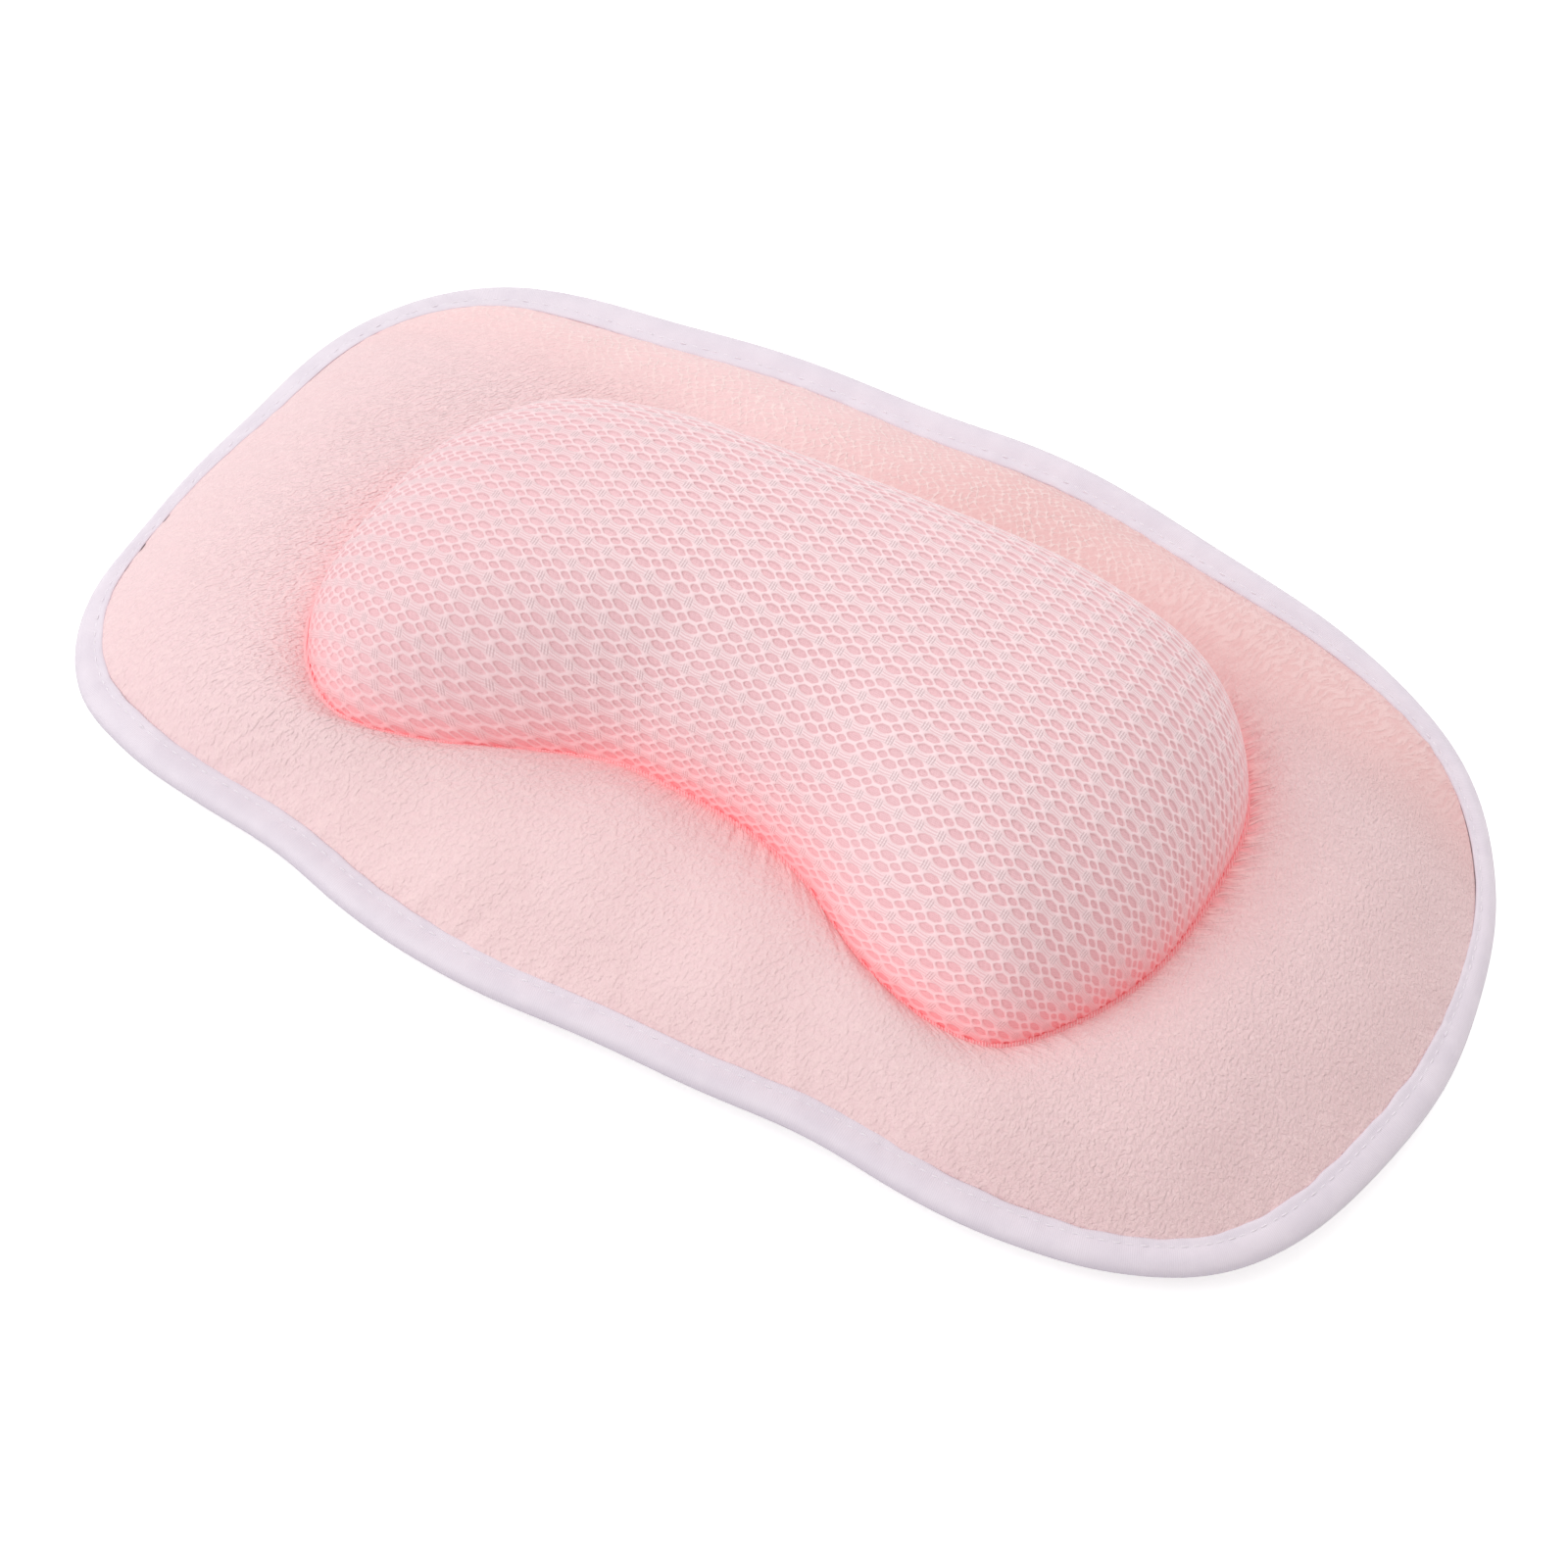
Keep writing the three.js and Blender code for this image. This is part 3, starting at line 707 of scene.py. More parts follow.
pad = {
    "crownShare": 0.13,         # rise of the stuffing, in shares of the cover's width
    "rows": 84, "thickness": 1.2,
    "creaseDepth": 2.4,         # how far the cover turns down into the seam
    # heights in millimetres, how far each runs out, and (shortest, longest, how many) waves
    "seamPucker": 0.28, "seamPuckerReach": 9.0,
    "pleatWaves": (7, 16, 26), "crimpWaves": (3.4, 6.5, 30),
    "edgePucker": 0.3, "edgePuckerReach": 9.0, "edgeWaves": (7, 15, 26),
    # from here (longest, shortest, how many) waves
    "swell": 0.6, "swellWaves": (75, 30, 14),
    "crepe": 0.06, "crepeWaves": (6.0, 3.0, 30),
    "crease": 0.25, "creasePitch": 10.5,        # lengthwise creases at the left end
    "calmReach": 12,            # the swell starts this far from either sewn edge
    "glow": 0.17, "glowReach": 5.5,     # the painted pink light round the seam, and how far it runs out
    "line": 0.42, "lineReach": 0.9,     # and the thin painted line of light right at the seam
    "gatherReach": 5.0,
    "innerShares": [0.97, 0.9, 0.75, 0.55, 0.35, 0.2, 0.1, 0.04, 0.0],  # rows of the inner face
    "hemInsets": [7.4, 5.0, 2.6, 2.6, 6.8],     # the hem inside the tape, from its fold
    "backPucker": 0.35, "backPuckerReach": 10, "backWaves": (8, 17, 24),
    "backSwell": 0.25, "backSwellWaves": (70, 28, 12),
    "backHem": [7.0, 2.6, 2.6, 7.0],
    "backEase": 0.8,            # share of the way out at which the back starts to rise or fall
    "tuft": 0.25, "tuftWaves": (30, 12, 12),    # lumps of the wadding
    "columnsPerRing": 3,        # the back and the wadding take every third column
}


def padTop(shares, depth):
    # straight from the seam to the tape, lifted in an arch of 4 t (1 - t)
    start = seamPoints(0.3, levels["seamTop"])
    end = edgePoints(topLeg - 0.3, levels["coverOut"])
    t = shares[None, :, None]
    points = start * (1 - t) + end * t
    crown = pad["crownShare"] * np.linalg.norm(end - start, axis=-1)
    points[..., 2] += crown * 4 * shares * (1 - shares) - depth
    return points


def ringNormals(points):
    # unit normals of a grid that closes round its columns
    du = np.roll(points, -1, 0) - np.roll(points, 1, 0)
    dv = np.gradient(points, axis=1)
    normal = np.cross(dv, du)
    return normal / np.maximum(np.linalg.norm(normal, axis=-1), 1e-9)[..., None]


def padWrinkles(outer, run, left):
    # Pleats and crimps that fade out from the seam and folds that fade out from the
    # tape; between them a slow swell, a fine crepe along the pad and, at its left end,
    # creases that run lengthwise. run and left are distances from the seam and the tape.
    x, y = outer[..., 0], outer[..., 1]
    hollow = np.exp(-((x - 10) / 70) ** 2) * (y < -40) + np.exp(-((x - 125) / 35) ** 2)
    pleats, crimp, edgeFolds = (ripple(pad[w]) for w in ("pleatWaves", "crimpWaves", "edgeWaves"))
    atSeam = np.exp(-run / pad["seamPuckerReach"])
    wrinkles = pad["seamPucker"] * (pleats * 0.6 + crimp * 0.4) * (0.55 + hollow) * atSeam
    wrinkles += pad["edgePucker"] * edgeFolds * np.exp(-left / pad["edgePuckerReach"])
    calm = np.clip(np.minimum(run, left) / pad["calmReach"], 0, 1)
    wrinkles += pad["swell"] * swell(pad["swellWaves"], x, y) * calm
    lying, across = x * 0.87 + y * 0.5, y * 0.87 - x * 0.5      # turned by 30 degrees
    crepe = swell(pad["crepeWaves"], lying * 0.35, across)
    wrinkles += pad["crepe"] * crepe * calm * np.clip(1.1 - x / 200, 0.6, 1.6)
    creases = np.sin(2 * np.pi * (y + 4 * np.sin(x / 25)) / pad["creasePitch"])
    wrinkles += pad["crease"] * creases * np.clip((-x - 120) / 40, 0, 1) * calm
    return wrinkles * np.clip(run / 1.5, 0, 1) * np.clip(left / 1.5, 0, 1)


def padFields(run, width):
    # Fields that fall off as exp(-run / reach) from the seam. The pink is painted light that
    # the seam's crease throws back onto the pad: it is weaker at the left, weakest at its back
    # corner, and the right end is pinker and more gathered behind, plainer in front. run is
    # the distance from the seam, width that of the tape.
    seamX, seamY = seam[:, :1], seam[:, 1:]
    toRight = np.clip((seamX + 110) / 110, 0, 1)
    calmCorner = np.exp(-((seamX + 105) / 60) ** 2) * np.clip((seamY + 20) / 25, 0, 1)
    rightEnd = np.clip((seamX - 40) / 40, 0, 1)
    behind = np.clip((seamY + 35) / 25, 0, 1)
    out = np.maximum(run, 0)
    glow = pad["glow"] * (0.55 + 0.45 * toRight) + 0.25 * rightEnd * behind
    glow = glow * (1 - 0.95 * calmCorner)
    glow = glow * np.exp(-out / (pad["glowReach"] + rightEnd * (3.5 * behind - 2.5)))
    line = pad["line"] * (0.3 + 0.7 * toRight) * (1 - 0.6 * calmCorner)
    line = line * np.exp(-out / pad["lineReach"])
    gathered = 0.15 + 0.4 * toRight + 0.4 * rightEnd * behind
    gathered = gathered * np.exp(-out / (pad["gatherReach"] + 3 * rightEnd * behind))
    fromEdge = np.clip(width - run, 0, None)
    gathered = np.maximum(gathered, 0.25 * np.exp(-fromEdge / pad["gatherReach"]))
    return {"seamBounceLight": glow, "seamCreaseLight": line, "gathered": gathered}


def makePadTop():
    # lip in the seam, outer face, hem inside the tape and inner face, as one closed ring
    even = np.linspace(0, 1, pad["rows"])
    shares = 0.6 * ((1 - np.cos(even * np.pi)) / 2) + 0.4 * even      # closer rows at both edges
    outer = padTop(shares, 0.0)
    steps = np.linalg.norm(np.diff(outer, axis=1), axis=-1)
    run = np.concatenate([np.zeros((len(outer), 1)), np.cumsum(steps, 1)], 1)
    width = run[:, -1:]
    outer = outer + ringNormals(outer) * padWrinkles(outer, run, width - run)[..., None]
    drops = np.array([pad["creaseDepth"], 1.0])
    lip = seamPoints(np.array([-0.5, -0.2]), levels["seamTop"] - drops)
    out, inside = levels["coverOut"], levels["coverIn"]
    hem = edgePoints(np.array(pad["hemInsets"]), np.array([out, out, out, inside, inside]))
    inner = padTop(np.array(pad["innerShares"]), pad["thickness"])
    inner[:, -1] = seamPoints(1.3, levels["seamTop"] - pad["creaseDepth"])[:, 0]
    points = np.concatenate([lip, outer, hem, inner], 1)
    columns, rows = points.shape[:2]
    faces, cornerI, cornerJ = gridFaces(columns, rows, True)
    # map: the seam's plan place moved out by the distance along the cover, which is
    # negative in the seam's crease and, on the hem, goes on past the tape's edge
    start = seam[:, None, :]
    heading = outer[:, -1:, :2] - start
    heading /= np.linalg.norm(heading, axis=-1)[..., None]
    lipRun, hemRun = [[-3, -1.2]] * columns, width + np.array([3, 7, 10, 10, 7])
    back = np.linspace(pad["rows"] - 1, 0, len(pad["innerShares"]))
    runAll = np.concatenate([lipRun, run, hemRun, run[:, np.ceil(back).astype(int)]], 1)
    cloth = start + heading * runAll[..., None]
    at = (cornerI % columns, cornerJ % rows)
    gather = np.stack([cornerI * rimLength / columns, runAll[at]], -1)
    maps = {"weave": cloth[at][:, ::-1], "gather": gather[:, ::-1]}
    piece = makePiece("pad_cover_top", points, faces[:, ::-1], finishes["padKnit"],
                      maps, padFields(runAll, width))
    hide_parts("pad_top_cover")


def padBack(shares, flatHeight, lift):
    # scaled from the middle to the tape; level, then eased down to the rim
    end = edgePoints(levels["padInset"], lift)
    t = shares[None, :, None]
    points = end * t
    fall = np.clip((shares - pad["backEase"]) / 0.2, 0, 1)
    fall = fall ** 2 * (3 - 2 * fall)
    points[..., 2] = flatHeight * (1 - fall) + end[..., 2] * fall
    return points


def makePadBack():
    out, inside = levels["coverOut"], levels["coverIn"]
    shares = np.concatenate([np.linspace(0.03, 0.78, 26), np.linspace(pad["backEase"], 1, 14)])
    lower = padBack(shares, levels["backUnder"], -out)
    x, y = lower[..., 0], lower[..., 1]
    left = (1 - shares)[None, :] * np.linalg.norm(lower[:, -1:, :2], axis=-1)
    folds = pad["backPucker"] * ripple(pad["backWaves"])
    lower[..., 2] -= folds * np.exp(-left / pad["backPuckerReach"]) * np.clip(left / 2, 0, 1)
    nearRim = np.clip((shares - pad["backEase"]) / 0.1, 0, 1) * np.clip(left / 3, 0, 1)
    lower[..., 2] += pad["backSwell"] * swell(pad["backSwellWaves"], x, y) * nearRim
    hem = edgePoints(np.array(pad["backHem"]), np.array([-out, -out, -inside, -inside]))
    upper = padBack(np.array([1.0, 0.93, 0.86, 0.8, 0.5, 0.05]), levels["backTop"], -inside)
    rings = np.concatenate([lower, hem, upper], 1)[::pad["columnsPerRing"]]
    points, quads, fans = capped(rings, [[0, 0, levels["backUnder"]]], [[0, 0, levels["backTop"]]])
    piece = makePiece(
        "pad_cover_back", points, quads, finishes["backCloth"], loose=fans)
    cutCylinders(piece, "hole")
    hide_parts("pad_back_cover")


def makeWadding():
    # from the back cover up to the top cover's inner face, and a step down to the bolster
    shares = np.array([0.0, 0.03, 0.08, 0.16, 0.28, 0.42, 0.56, 0.7, 0.82, 0.92])
    top = padTop(shares[::-1], pad["thickness"] + 0.5)
    top[..., 2] += pad["tuft"] * swell(pad["tuftWaves"], top[..., 0], top[..., 1]) - pad["tuft"]
    step = seamPoints(0.3, levels["waddingTop"])
    low = levels["backTop"] + 0.3
    base = padBack(np.array([0.1, 0.5, 0.8, 0.9, 0.98]), low, levels["coverIn"])
    rings = np.concatenate([base, top, step], 1)[::pad["columnsPerRing"]]
    points, quads, fans = capped(rings, [[0, 0, low]], [[*middle, levels["waddingTop"]]])
    piece = makePiece("pad_filling", points, quads, finishes["wadding"], loose=fans)
    cutCylinders(piece, "pocket")
    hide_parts("pad_wadding")


binding = {
    "section": [                # inset from the fold and lift, from the top leg's inner edge round
        (10.0, 1.3), (10.0, 1.6), (9.5, 1.95), (8.6, 2.1), (7.6, 2.05), (6.9, 2.3), (5.8, 2.6),
        (4.4, 2.75), (3.0, 2.7), (1.6, 2.25), (0.5, 1.3), (0.0, 0.0), (0.5, -1.35), (1.6, -2.3),
        (3.0, -2.8), (4.4, -3.0), (5.8, -2.95), (7.0, -2.6), (7.6, -2.35), (8.4, -2.6), (9.6, -2.3),
        (10.4, -1.9), (10.4, -1.4), (6.4, -1.65), (2.6, -1.6), (2.2, 0.0), (2.6, 1.6), (6.4, 1.5)],
    "nose": 3.0,                # past this inset the top leg stretches
    "sway": 0.4, "swayWaves": (45, 120, 9),     # the fold's way in and out
    "pucker": 0.12, "puckerWaves": (5, 11, 26), "puckerWidth": 2.2,     # along the stitches
    "fray": 0.12, "frayWaves": (9, 24, 20),     # unevenness of the two inner edges
    "stitchPitch": 3.6, "stitchLength": 2.4, "stitchWidth": 0.42, "stitchInset": 7.6,
    "stitchLifts": {1: 2.06, -1: 2.42},         # on the top leg and on the back leg
    "stitchArch": 0.16, "stitchSink": 0.11,
    "stitchRings": 6,           # of six points each
}


def onLeg(inset):
    # past the nose the top leg stretches to reach its width at each bearing
    nose = binding["nose"]
    share = (topLeg - nose) / (levels["tapeWidth"] - nose)
    return np.where(inset > nose, nose + (inset - nose) * share, inset)


def makeBinding():
    # the section carried round the rim, puckered along its stitches
    section = np.array(binding["section"])
    pucker = ripple(binding["puckerWaves"]) * binding["pucker"]
    inset, lift = section[None, :, 0], section[None, :, 1]
    atStitch = np.exp(-((inset - binding["stitchInset"]) / binding["puckerWidth"]) ** 2)
    outerFace = np.abs(lift) > 1.7
    lift = lift + np.sign(lift) * pucker * atStitch * outerFace
    inset = np.where(lift > 0, onLeg(inset), inset)
    fray = ripple(binding["frayWaves"]) * binding["fray"]
    inset = inset + (section[:, 0] > 9) * fray
    points = edgePoints(inset, lift, edgeSway)
    columns, rows = points.shape[:2]
    faces, cornerI, cornerJ = gridFaces(columns, rows, True)
    across = np.cumsum(np.linalg.norm(np.diff(section, axis=0), axis=1))
    across = np.concatenate([[0], across, [0]])
    pitch = tapeLook["ribPitch"]
    ribs = round(rimLength / pitch) * pitch / columns       # a whole number of ribs goes round
    corners = np.stack([cornerI * ribs, across[cornerJ]], -1)
    piece = makePiece(
        "binding_tape", points, faces, finishes["tape"], {"weave": corners})
    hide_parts("edge_binding")


def makeStitches(name, side):
    # One small capsule for each stitch: six-sided rings along an arch, whose radius
    # follows the root of 1 - t * t. It is sunk into the tape at both ends.
    sides, rings = 6, binding["stitchRings"]
    count = int(rimLength / binding["stitchPitch"])
    inset = onLeg(binding["stitchInset"]) if side > 0 else binding["stitchInset"]
    centre = edgePoints(inset, side * binding["stitchLifts"][side], edgeSway)[:, 0]
    place = np.arange(count) / count * plan["columns"]
    low = place.astype(int)
    part = (place - low)[:, None]
    at = centre[low] * (1 - part) + centre[(low + 1) % plan["columns"]] * part
    forward = np.concatenate([along[low], np.zeros((count, 1))], -1)
    turn = roll[low]
    up = [-inward[low, 0] * np.sin(turn), -inward[low, 1] * np.sin(turn), np.cos(turn)]
    up = np.stack(up, -1) * side
    sideways = np.cross(up, forward)
    t = np.linspace(-1, 1, rings)
    angle = np.arange(sides) / sides * 2 * np.pi
    girth = binding["stitchWidth"] / 2 * np.sqrt(np.clip(1.04 - t ** 2, 0.02, 1))[:, None]
    length = t * binding["stitchLength"] / 2
    arch = binding["stitchArch"] * (1 - t ** 2) - binding["stitchSink"]
    axisPart = forward[:, None, None, :] * length[None, :, None, None]
    upPart = up[:, None, None, :] * (arch[:, None] + girth * np.sin(angle))[None, ..., None]
    sidePart = sideways[:, None, None, :] * (girth * np.cos(angle))[None, ..., None]
    points = at[:, None, None, :] + axisPart + upPart + sidePart
    i, j, k = np.meshgrid(np.arange(count), np.arange(rings - 1), np.arange(sides), indexing="ij")
    near = (i * rings + j) * sides
    far, after = near + sides, (k + 1) % sides
    quads = np.stack([near + k, far + k, far + after, near + after], -1)
    # each end, a ring of six, is closed by two quads
    starts = np.arange(count)[:, None] * rings * sides
    ring = np.arange(sides)
    caps = np.vstack([starts + ring, starts + (rings - 1) * sides + ring[::-1]])
    ends = np.vstack([caps[:, [0, 1, 2, 3]], caps[:, [0, 3, 4, 5]]])
    quads = quads.reshape(-1, 4)
    piece = makePiece(name, points, quads, finishes["thread"], loose=ends)
    fixNormals(piece.data)


def fixNormals(mesh):
    # turns the faces of each closed shell outwards
    work = bmesh.new()
    work.from_mesh(mesh)
    bmesh.ops.recalc_face_normals(work, faces=work.faces)
    work.to_mesh(mesh)
    work.free()


bolster = {
    "height": 57.6,
    "frontPower": 2 / 3, "backPower": 0.8, "backReach": 50.0,   # the back wall is gentler
    "ridgeShare": 0.42,         # the ridge's length against the seam's
    "ridgeForward": 2.0, "ridgeBow": 38.0, "endFall": 7.0,
    "groundInset": 0.6, "groundThickness": 1, "coreInset": 3.2,
    "groundRows": 56, "innerRows": 14, "coreRows": 22,
    "columnsPerRing": 4,        # the core and the base panel take every fourth column
    "panelGap": 0.3, "panelThickness": 0.8, "panelOffsets": [-20, -6, -0.6, 0.0],
    "repeatAlong": 6.1, "repeatAcross": 7.5,    # of the net's pattern, in millimetres
    "stripeLean": 0.045,
    "netShift": (0.0, -4.0),
    "netReach": (175, 120),     # the pattern is laid out this far either way
    "netDrift": (0.45, 0.4), "driftScale": (6, 9), "driftWaves": ((60, 22, 8), (70, 25, 8)),
    "yarnBase": 0.04, "yarnRidge": 0.42, "yarnMiddle": 0.26,        # heights over the dome
    "tuck": 3.0,                # the net runs down past the seam by this much
    "strandHalf": 0.38,         # from a hole's edge to the top of its strand
    "rasterRows": 169, "tuckRows": 10,
    # how far the painted pink light of the seam runs up the net, and how much further it runs up the
    # right end as painted shade
    "bounceReach": 14.0, "rightShadeReach": 5.0,
    "foldRadius": 0.85, "foldDrop": 0.3, "foldSides": 10,
    "foldGather": 0.22, "foldWaves": (3.5, 8, 24),
}


def ridgeLine():
    # for each column, its place on a parabola along the top of the dome
    x = seam[:, 0] * bolster["ridgeShare"]
    bow = bolster["ridgeBow"] * (2 * x / plan["bolsterLength"]) ** 2
    return np.stack([x, -bolster["ridgeForward"] - bow], -1)[:, None, :]


def dome(angles, inset):
    # Plan: from the ridge to the seam by cos(angle) ^ power. Height: by sin(angle), less
    # a fall that grows with the square of x. The power grows from the front wall to the
    # back wall in a smooth step.
    ridge = ridgeLine()
    wall = seamPoints(-inset, 0.0)[..., :2]
    backShare = np.clip((seam[:, 1] - middle[1]) / (bolster["backReach"] - middle[1]), 0, 1)
    backShare = backShare ** 2 * (3 - 2 * backShare)
    power = bolster["frontPower"] + (bolster["backPower"] - bolster["frontPower"]) * backShare
    share = (np.cos(angles)[None, :] ** power[:, None])[..., None]
    flat = ridge * (1 - share) + wall * share
    fall = bolster["endFall"] * (2 * flat[..., 0] / plan["bolsterLength"]) ** 2
    height = levels["domeBase"] + (bolster["height"] - inset - fall) * np.sin(angles)
    return np.concatenate([flat, height[..., None]], -1)


def domeAngles(count):
    # closer together at the wall, where the dome turns fastest
    t = np.linspace(0, 1, count + 1)[:-1]
    return np.radians(90) * t ** 1.15


def seamBounceLight(x, fromSeam):
    # painted light: the pink that the seam throws back fades with the distance from it;
    # further up the right end it runs on as painted shade, and it is weaker at the left end
    reach = bolster["bounceReach"] + bolster["rightShadeReach"] * np.clip((x - 60) / 60, 0, 1)
    return np.exp(-fromSeam / reach) * (0.78 + 0.22 * np.clip((x + 50) / 60, 0, 1))


def makeGround():
    # the dome and, a cloth's thickness inside it, the dome again
    inset = bolster["groundInset"]
    outer = dome(domeAngles(bolster["groundRows"]), inset)
    inner = dome(domeAngles(bolster["innerRows"]), inset + bolster["groundThickness"])[:, ::-1]
    rings = np.concatenate([inner, outer], 1)
    points, quads, fans = capped(rings, None, None)
    far = np.full(inner.shape[:2], 60.0)        # the inner face counts as far from the seam
    fromSeam = np.concatenate([far, outer[..., 2] - levels["domeBase"]], 1)
    piece = makePiece("bolster_ground", points, quads, finishes["ground"],
                      fields={"seamBounceLight": seamBounceLight(seam[:, :1], fromSeam)}, loose=fans)
    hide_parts("bolster_ground_cloth")


def makeCore():
    rings = dome(domeAngles(bolster["coreRows"]), bolster["coreInset"])[::bolster["columnsPerRing"]]
    points, quads, fans = capped(rings, [[*middle, levels["domeBase"]]], None)
    piece = makePiece("bolster_foam", points, quads, finishes["foam"], loose=fans)
    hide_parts("bolster_core")


def makeBasePanel():
    # a flat cloth inside the seam, with a rounded edge
    low = levels["waddingTop"] + bolster["panelGap"]
    high = low + bolster["panelThickness"]
    offsets = bolster["panelOffsets"]
    heights = np.array([low, low, low, low + 0.25, high - 0.25, high, high, high])
    rings = seamPoints(np.array(offsets + offsets[::-1]), heights)[::bolster["columnsPerRing"]]
    points, quads, fans = capped(rings, [[*middle, low]], [[*middle, high]])
    piece = makePiece("bolster_base", points, quads, finishes["panel"], loose=fans)
    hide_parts("bolster_base_panel")


def clothRaster():
    # The dome laid out flat: each point of a column moves out from the ridge by its
    # distance along the surface. Surface places are fitted on an even raster of
    # that flat cloth, a point to each millimetre, by a weighted straight-line fit.
    t = np.linspace(0, 1, bolster["rasterRows"] + 1)[:-1]
    surface = dome(np.radians(90) * (1 - t ** 1.3), bolster["groundInset"])
    down = surface[:, -1:, :].repeat(bolster["tuckRows"], 1)
    down[..., 2] -= np.linspace(0.6, bolster["tuck"] + 4, bolster["tuckRows"])
    surface = np.concatenate([surface, down], 1)
    ridge = ridgeLine()
    steps = np.linalg.norm(np.diff(surface, axis=1), axis=-1)
    first = np.linalg.norm(surface[:, :1, :2] - ridge, axis=-1)
    run = np.concatenate([first, first + np.cumsum(steps, 1)], 1)
    heading = seam[:, None, :] - ridge
    heading /= np.linalg.norm(heading, axis=-1)[..., None]
    cloth = (ridge + heading * run[..., None]).reshape(-1, 2)
    past = run - run[:, [-bolster["tuckRows"] - 1]]         # distance past the seam
    values = np.concatenate([surface.reshape(-1, 3), past.reshape(-1, 1)], 1)
    low = np.floor(cloth.min(0)) - 4
    size = (np.ceil(cloth.max(0) - low) + 5).astype(int)
    places = size[0] * size[1]
    weightSum, moments = np.zeros((places, 3, 3)), np.zeros((places, 3, 4))
    base = np.floor(cloth - low).astype(int)
    for dx in range(-1, 3):
        for dy in range(-1, 3):
            cell = base + [dx, dy]
            gap = cloth - low - cell
            weight = np.exp(-(gap ** 2).sum(1) / 0.8)
            terms = np.stack([np.ones(len(gap)), gap[:, 0], gap[:, 1]], -1)
            index = cell[:, 0] * size[1] + cell[:, 1]
            for a in range(3):
                pull = weight * terms[:, a]
                for b in range(a, 3):
                    weightSum[:, a, b] += np.bincount(index, pull * terms[:, b], places)
                    weightSum[:, b, a] = weightSum[:, a, b]
                for c in range(4):
                    moments[:, a, c] += np.bincount(index, pull * values[:, c], places)
    known = weightSum[:, 0, 0] > 1e-3
    weightSum[known] += np.eye(3) * 1e-6        # keeps the fit solvable where points are few
    fitted = np.full((places, 4), np.nan)
    fitted[known] = np.linalg.solve(weightSum[known], moments[known])[:, 0]
    return fitted.reshape(size[0], size[1], 4), low


def readRaster(raster, low, cloth):
    # straight-line reading between the four raster points round each place
    at = cloth - low
    cell = np.clip(np.floor(at).astype(int), 0, np.array(raster.shape[:2]) - 2)
    part = at - cell
    px, py = part[:, :1], part[:, 1:]
    i, j = cell[:, 0], cell[:, 1]
    near = raster[i, j] * (1 - py) + raster[i, j + 1] * py
    far = raster[i + 1, j] * (1 - py) + raster[i + 1, j + 1] * py
    return near * (1 - px) + far * px


def netCell(pitch):
    # One repeat of the net, in shares of the repeat: two long holes either side of a
    # round one. Each hole has its edge, a strand round it and the shared line between
    # holes. The stripe and its knots lie along the repeat's low edge.
    wideLines = np.array([
        (0, 0), (0.3, 0), (0.7, 0), (1, 0), (1, 0.19), (1, 0.315), (0.805, 0.4), (0.71, 0.5),
        (0.29, 0.5), (0.195, 0.4), (0, 0.315), (0, 0.19)])
    wideHole = np.array([
        (0.27, 0.213), (0.39, 0.176), (0.61, 0.176), (0.73, 0.213), (0.83, 0.27), (0.835, 0.296),
        (0.72, 0.362), (0.63, 0.405), (0.37, 0.405), (0.28, 0.362), (0.165, 0.296), (0.17, 0.27)])
    roundLines = np.array([
        (0, 0.315), (0.195, 0.4), (0.29, 0.5), (0.195, 0.6),
        (0, 0.685), (-0.195, 0.6), (-0.29, 0.5), (-0.195, 0.4)])
    roundHole = np.array([
        (0, 0.4), (0.14, 0.435), (0.21, 0.5), (0.14, 0.565),
        (0, 0.6), (-0.14, 0.565), (-0.21, 0.5), (-0.14, 0.435)])
    mirror = np.array([1, -1])
    shift = np.array([0, 1])
    loops = [
        (wideLines, wideHole),
        ((wideLines * mirror + shift)[::-1], (wideHole * mirror + shift)[::-1]),
        (roundLines, roundHole),
    ]
    points, heights, faces, start = [], [], [], 0
    for lines, hole in loops:
        count = len(lines)
        web = np.linalg.norm((lines - hole) * pitch, axis=1)[:, None]
        strand = hole + (lines - hole) * np.minimum(0.8, bolster["strandHalf"] / web)
        # a line between two holes is one strand; on the stripes the net lies lower
        offStripe = np.clip((np.minimum(lines[:, 1], 1 - lines[:, 1]) - 0.05) / 0.15, 0, 1)
        edge, middleLine, ridge = bolster["yarnBase"], bolster["yarnMiddle"], bolster["yarnRidge"]
        lineHeight = middleLine + (ridge - middleLine) * offStripe
        points += [hole, strand, lines]
        heights += [np.full(count, edge), np.full(count, ridge), lineHeight]
        i = np.arange(count)
        after = (i + 1) % count
        for band in range(2):
            low, high = start + band * count, start + (band + 1) * count
            faces.append(np.stack([low + i, high + i, high + after, low + after], -1))
        start += 3 * count
    return np.vstack(points), np.concatenate(heights), np.vstack(faces)


def makeFold():
    # a small roll along the seam, gathered a little unevenly
    turn = np.arange(bolster["foldSides"]) / bolster["foldSides"] * 2 * np.pi
    gather = 1 + bolster["foldGather"] * ripple(bolster["foldWaves"])
    radius = bolster["foldRadius"] * gather
    height = levels["seamTop"] - bolster["foldDrop"] + radius * np.sin(turn)
    points = seamPoints(radius * np.cos(turn), height)
    faces = gridFaces(*points.shape[:2], True)[0]
    piece = makePiece("bolster_seam_fold", points, faces, finishes["fold"])
    fixNormals(piece.data)


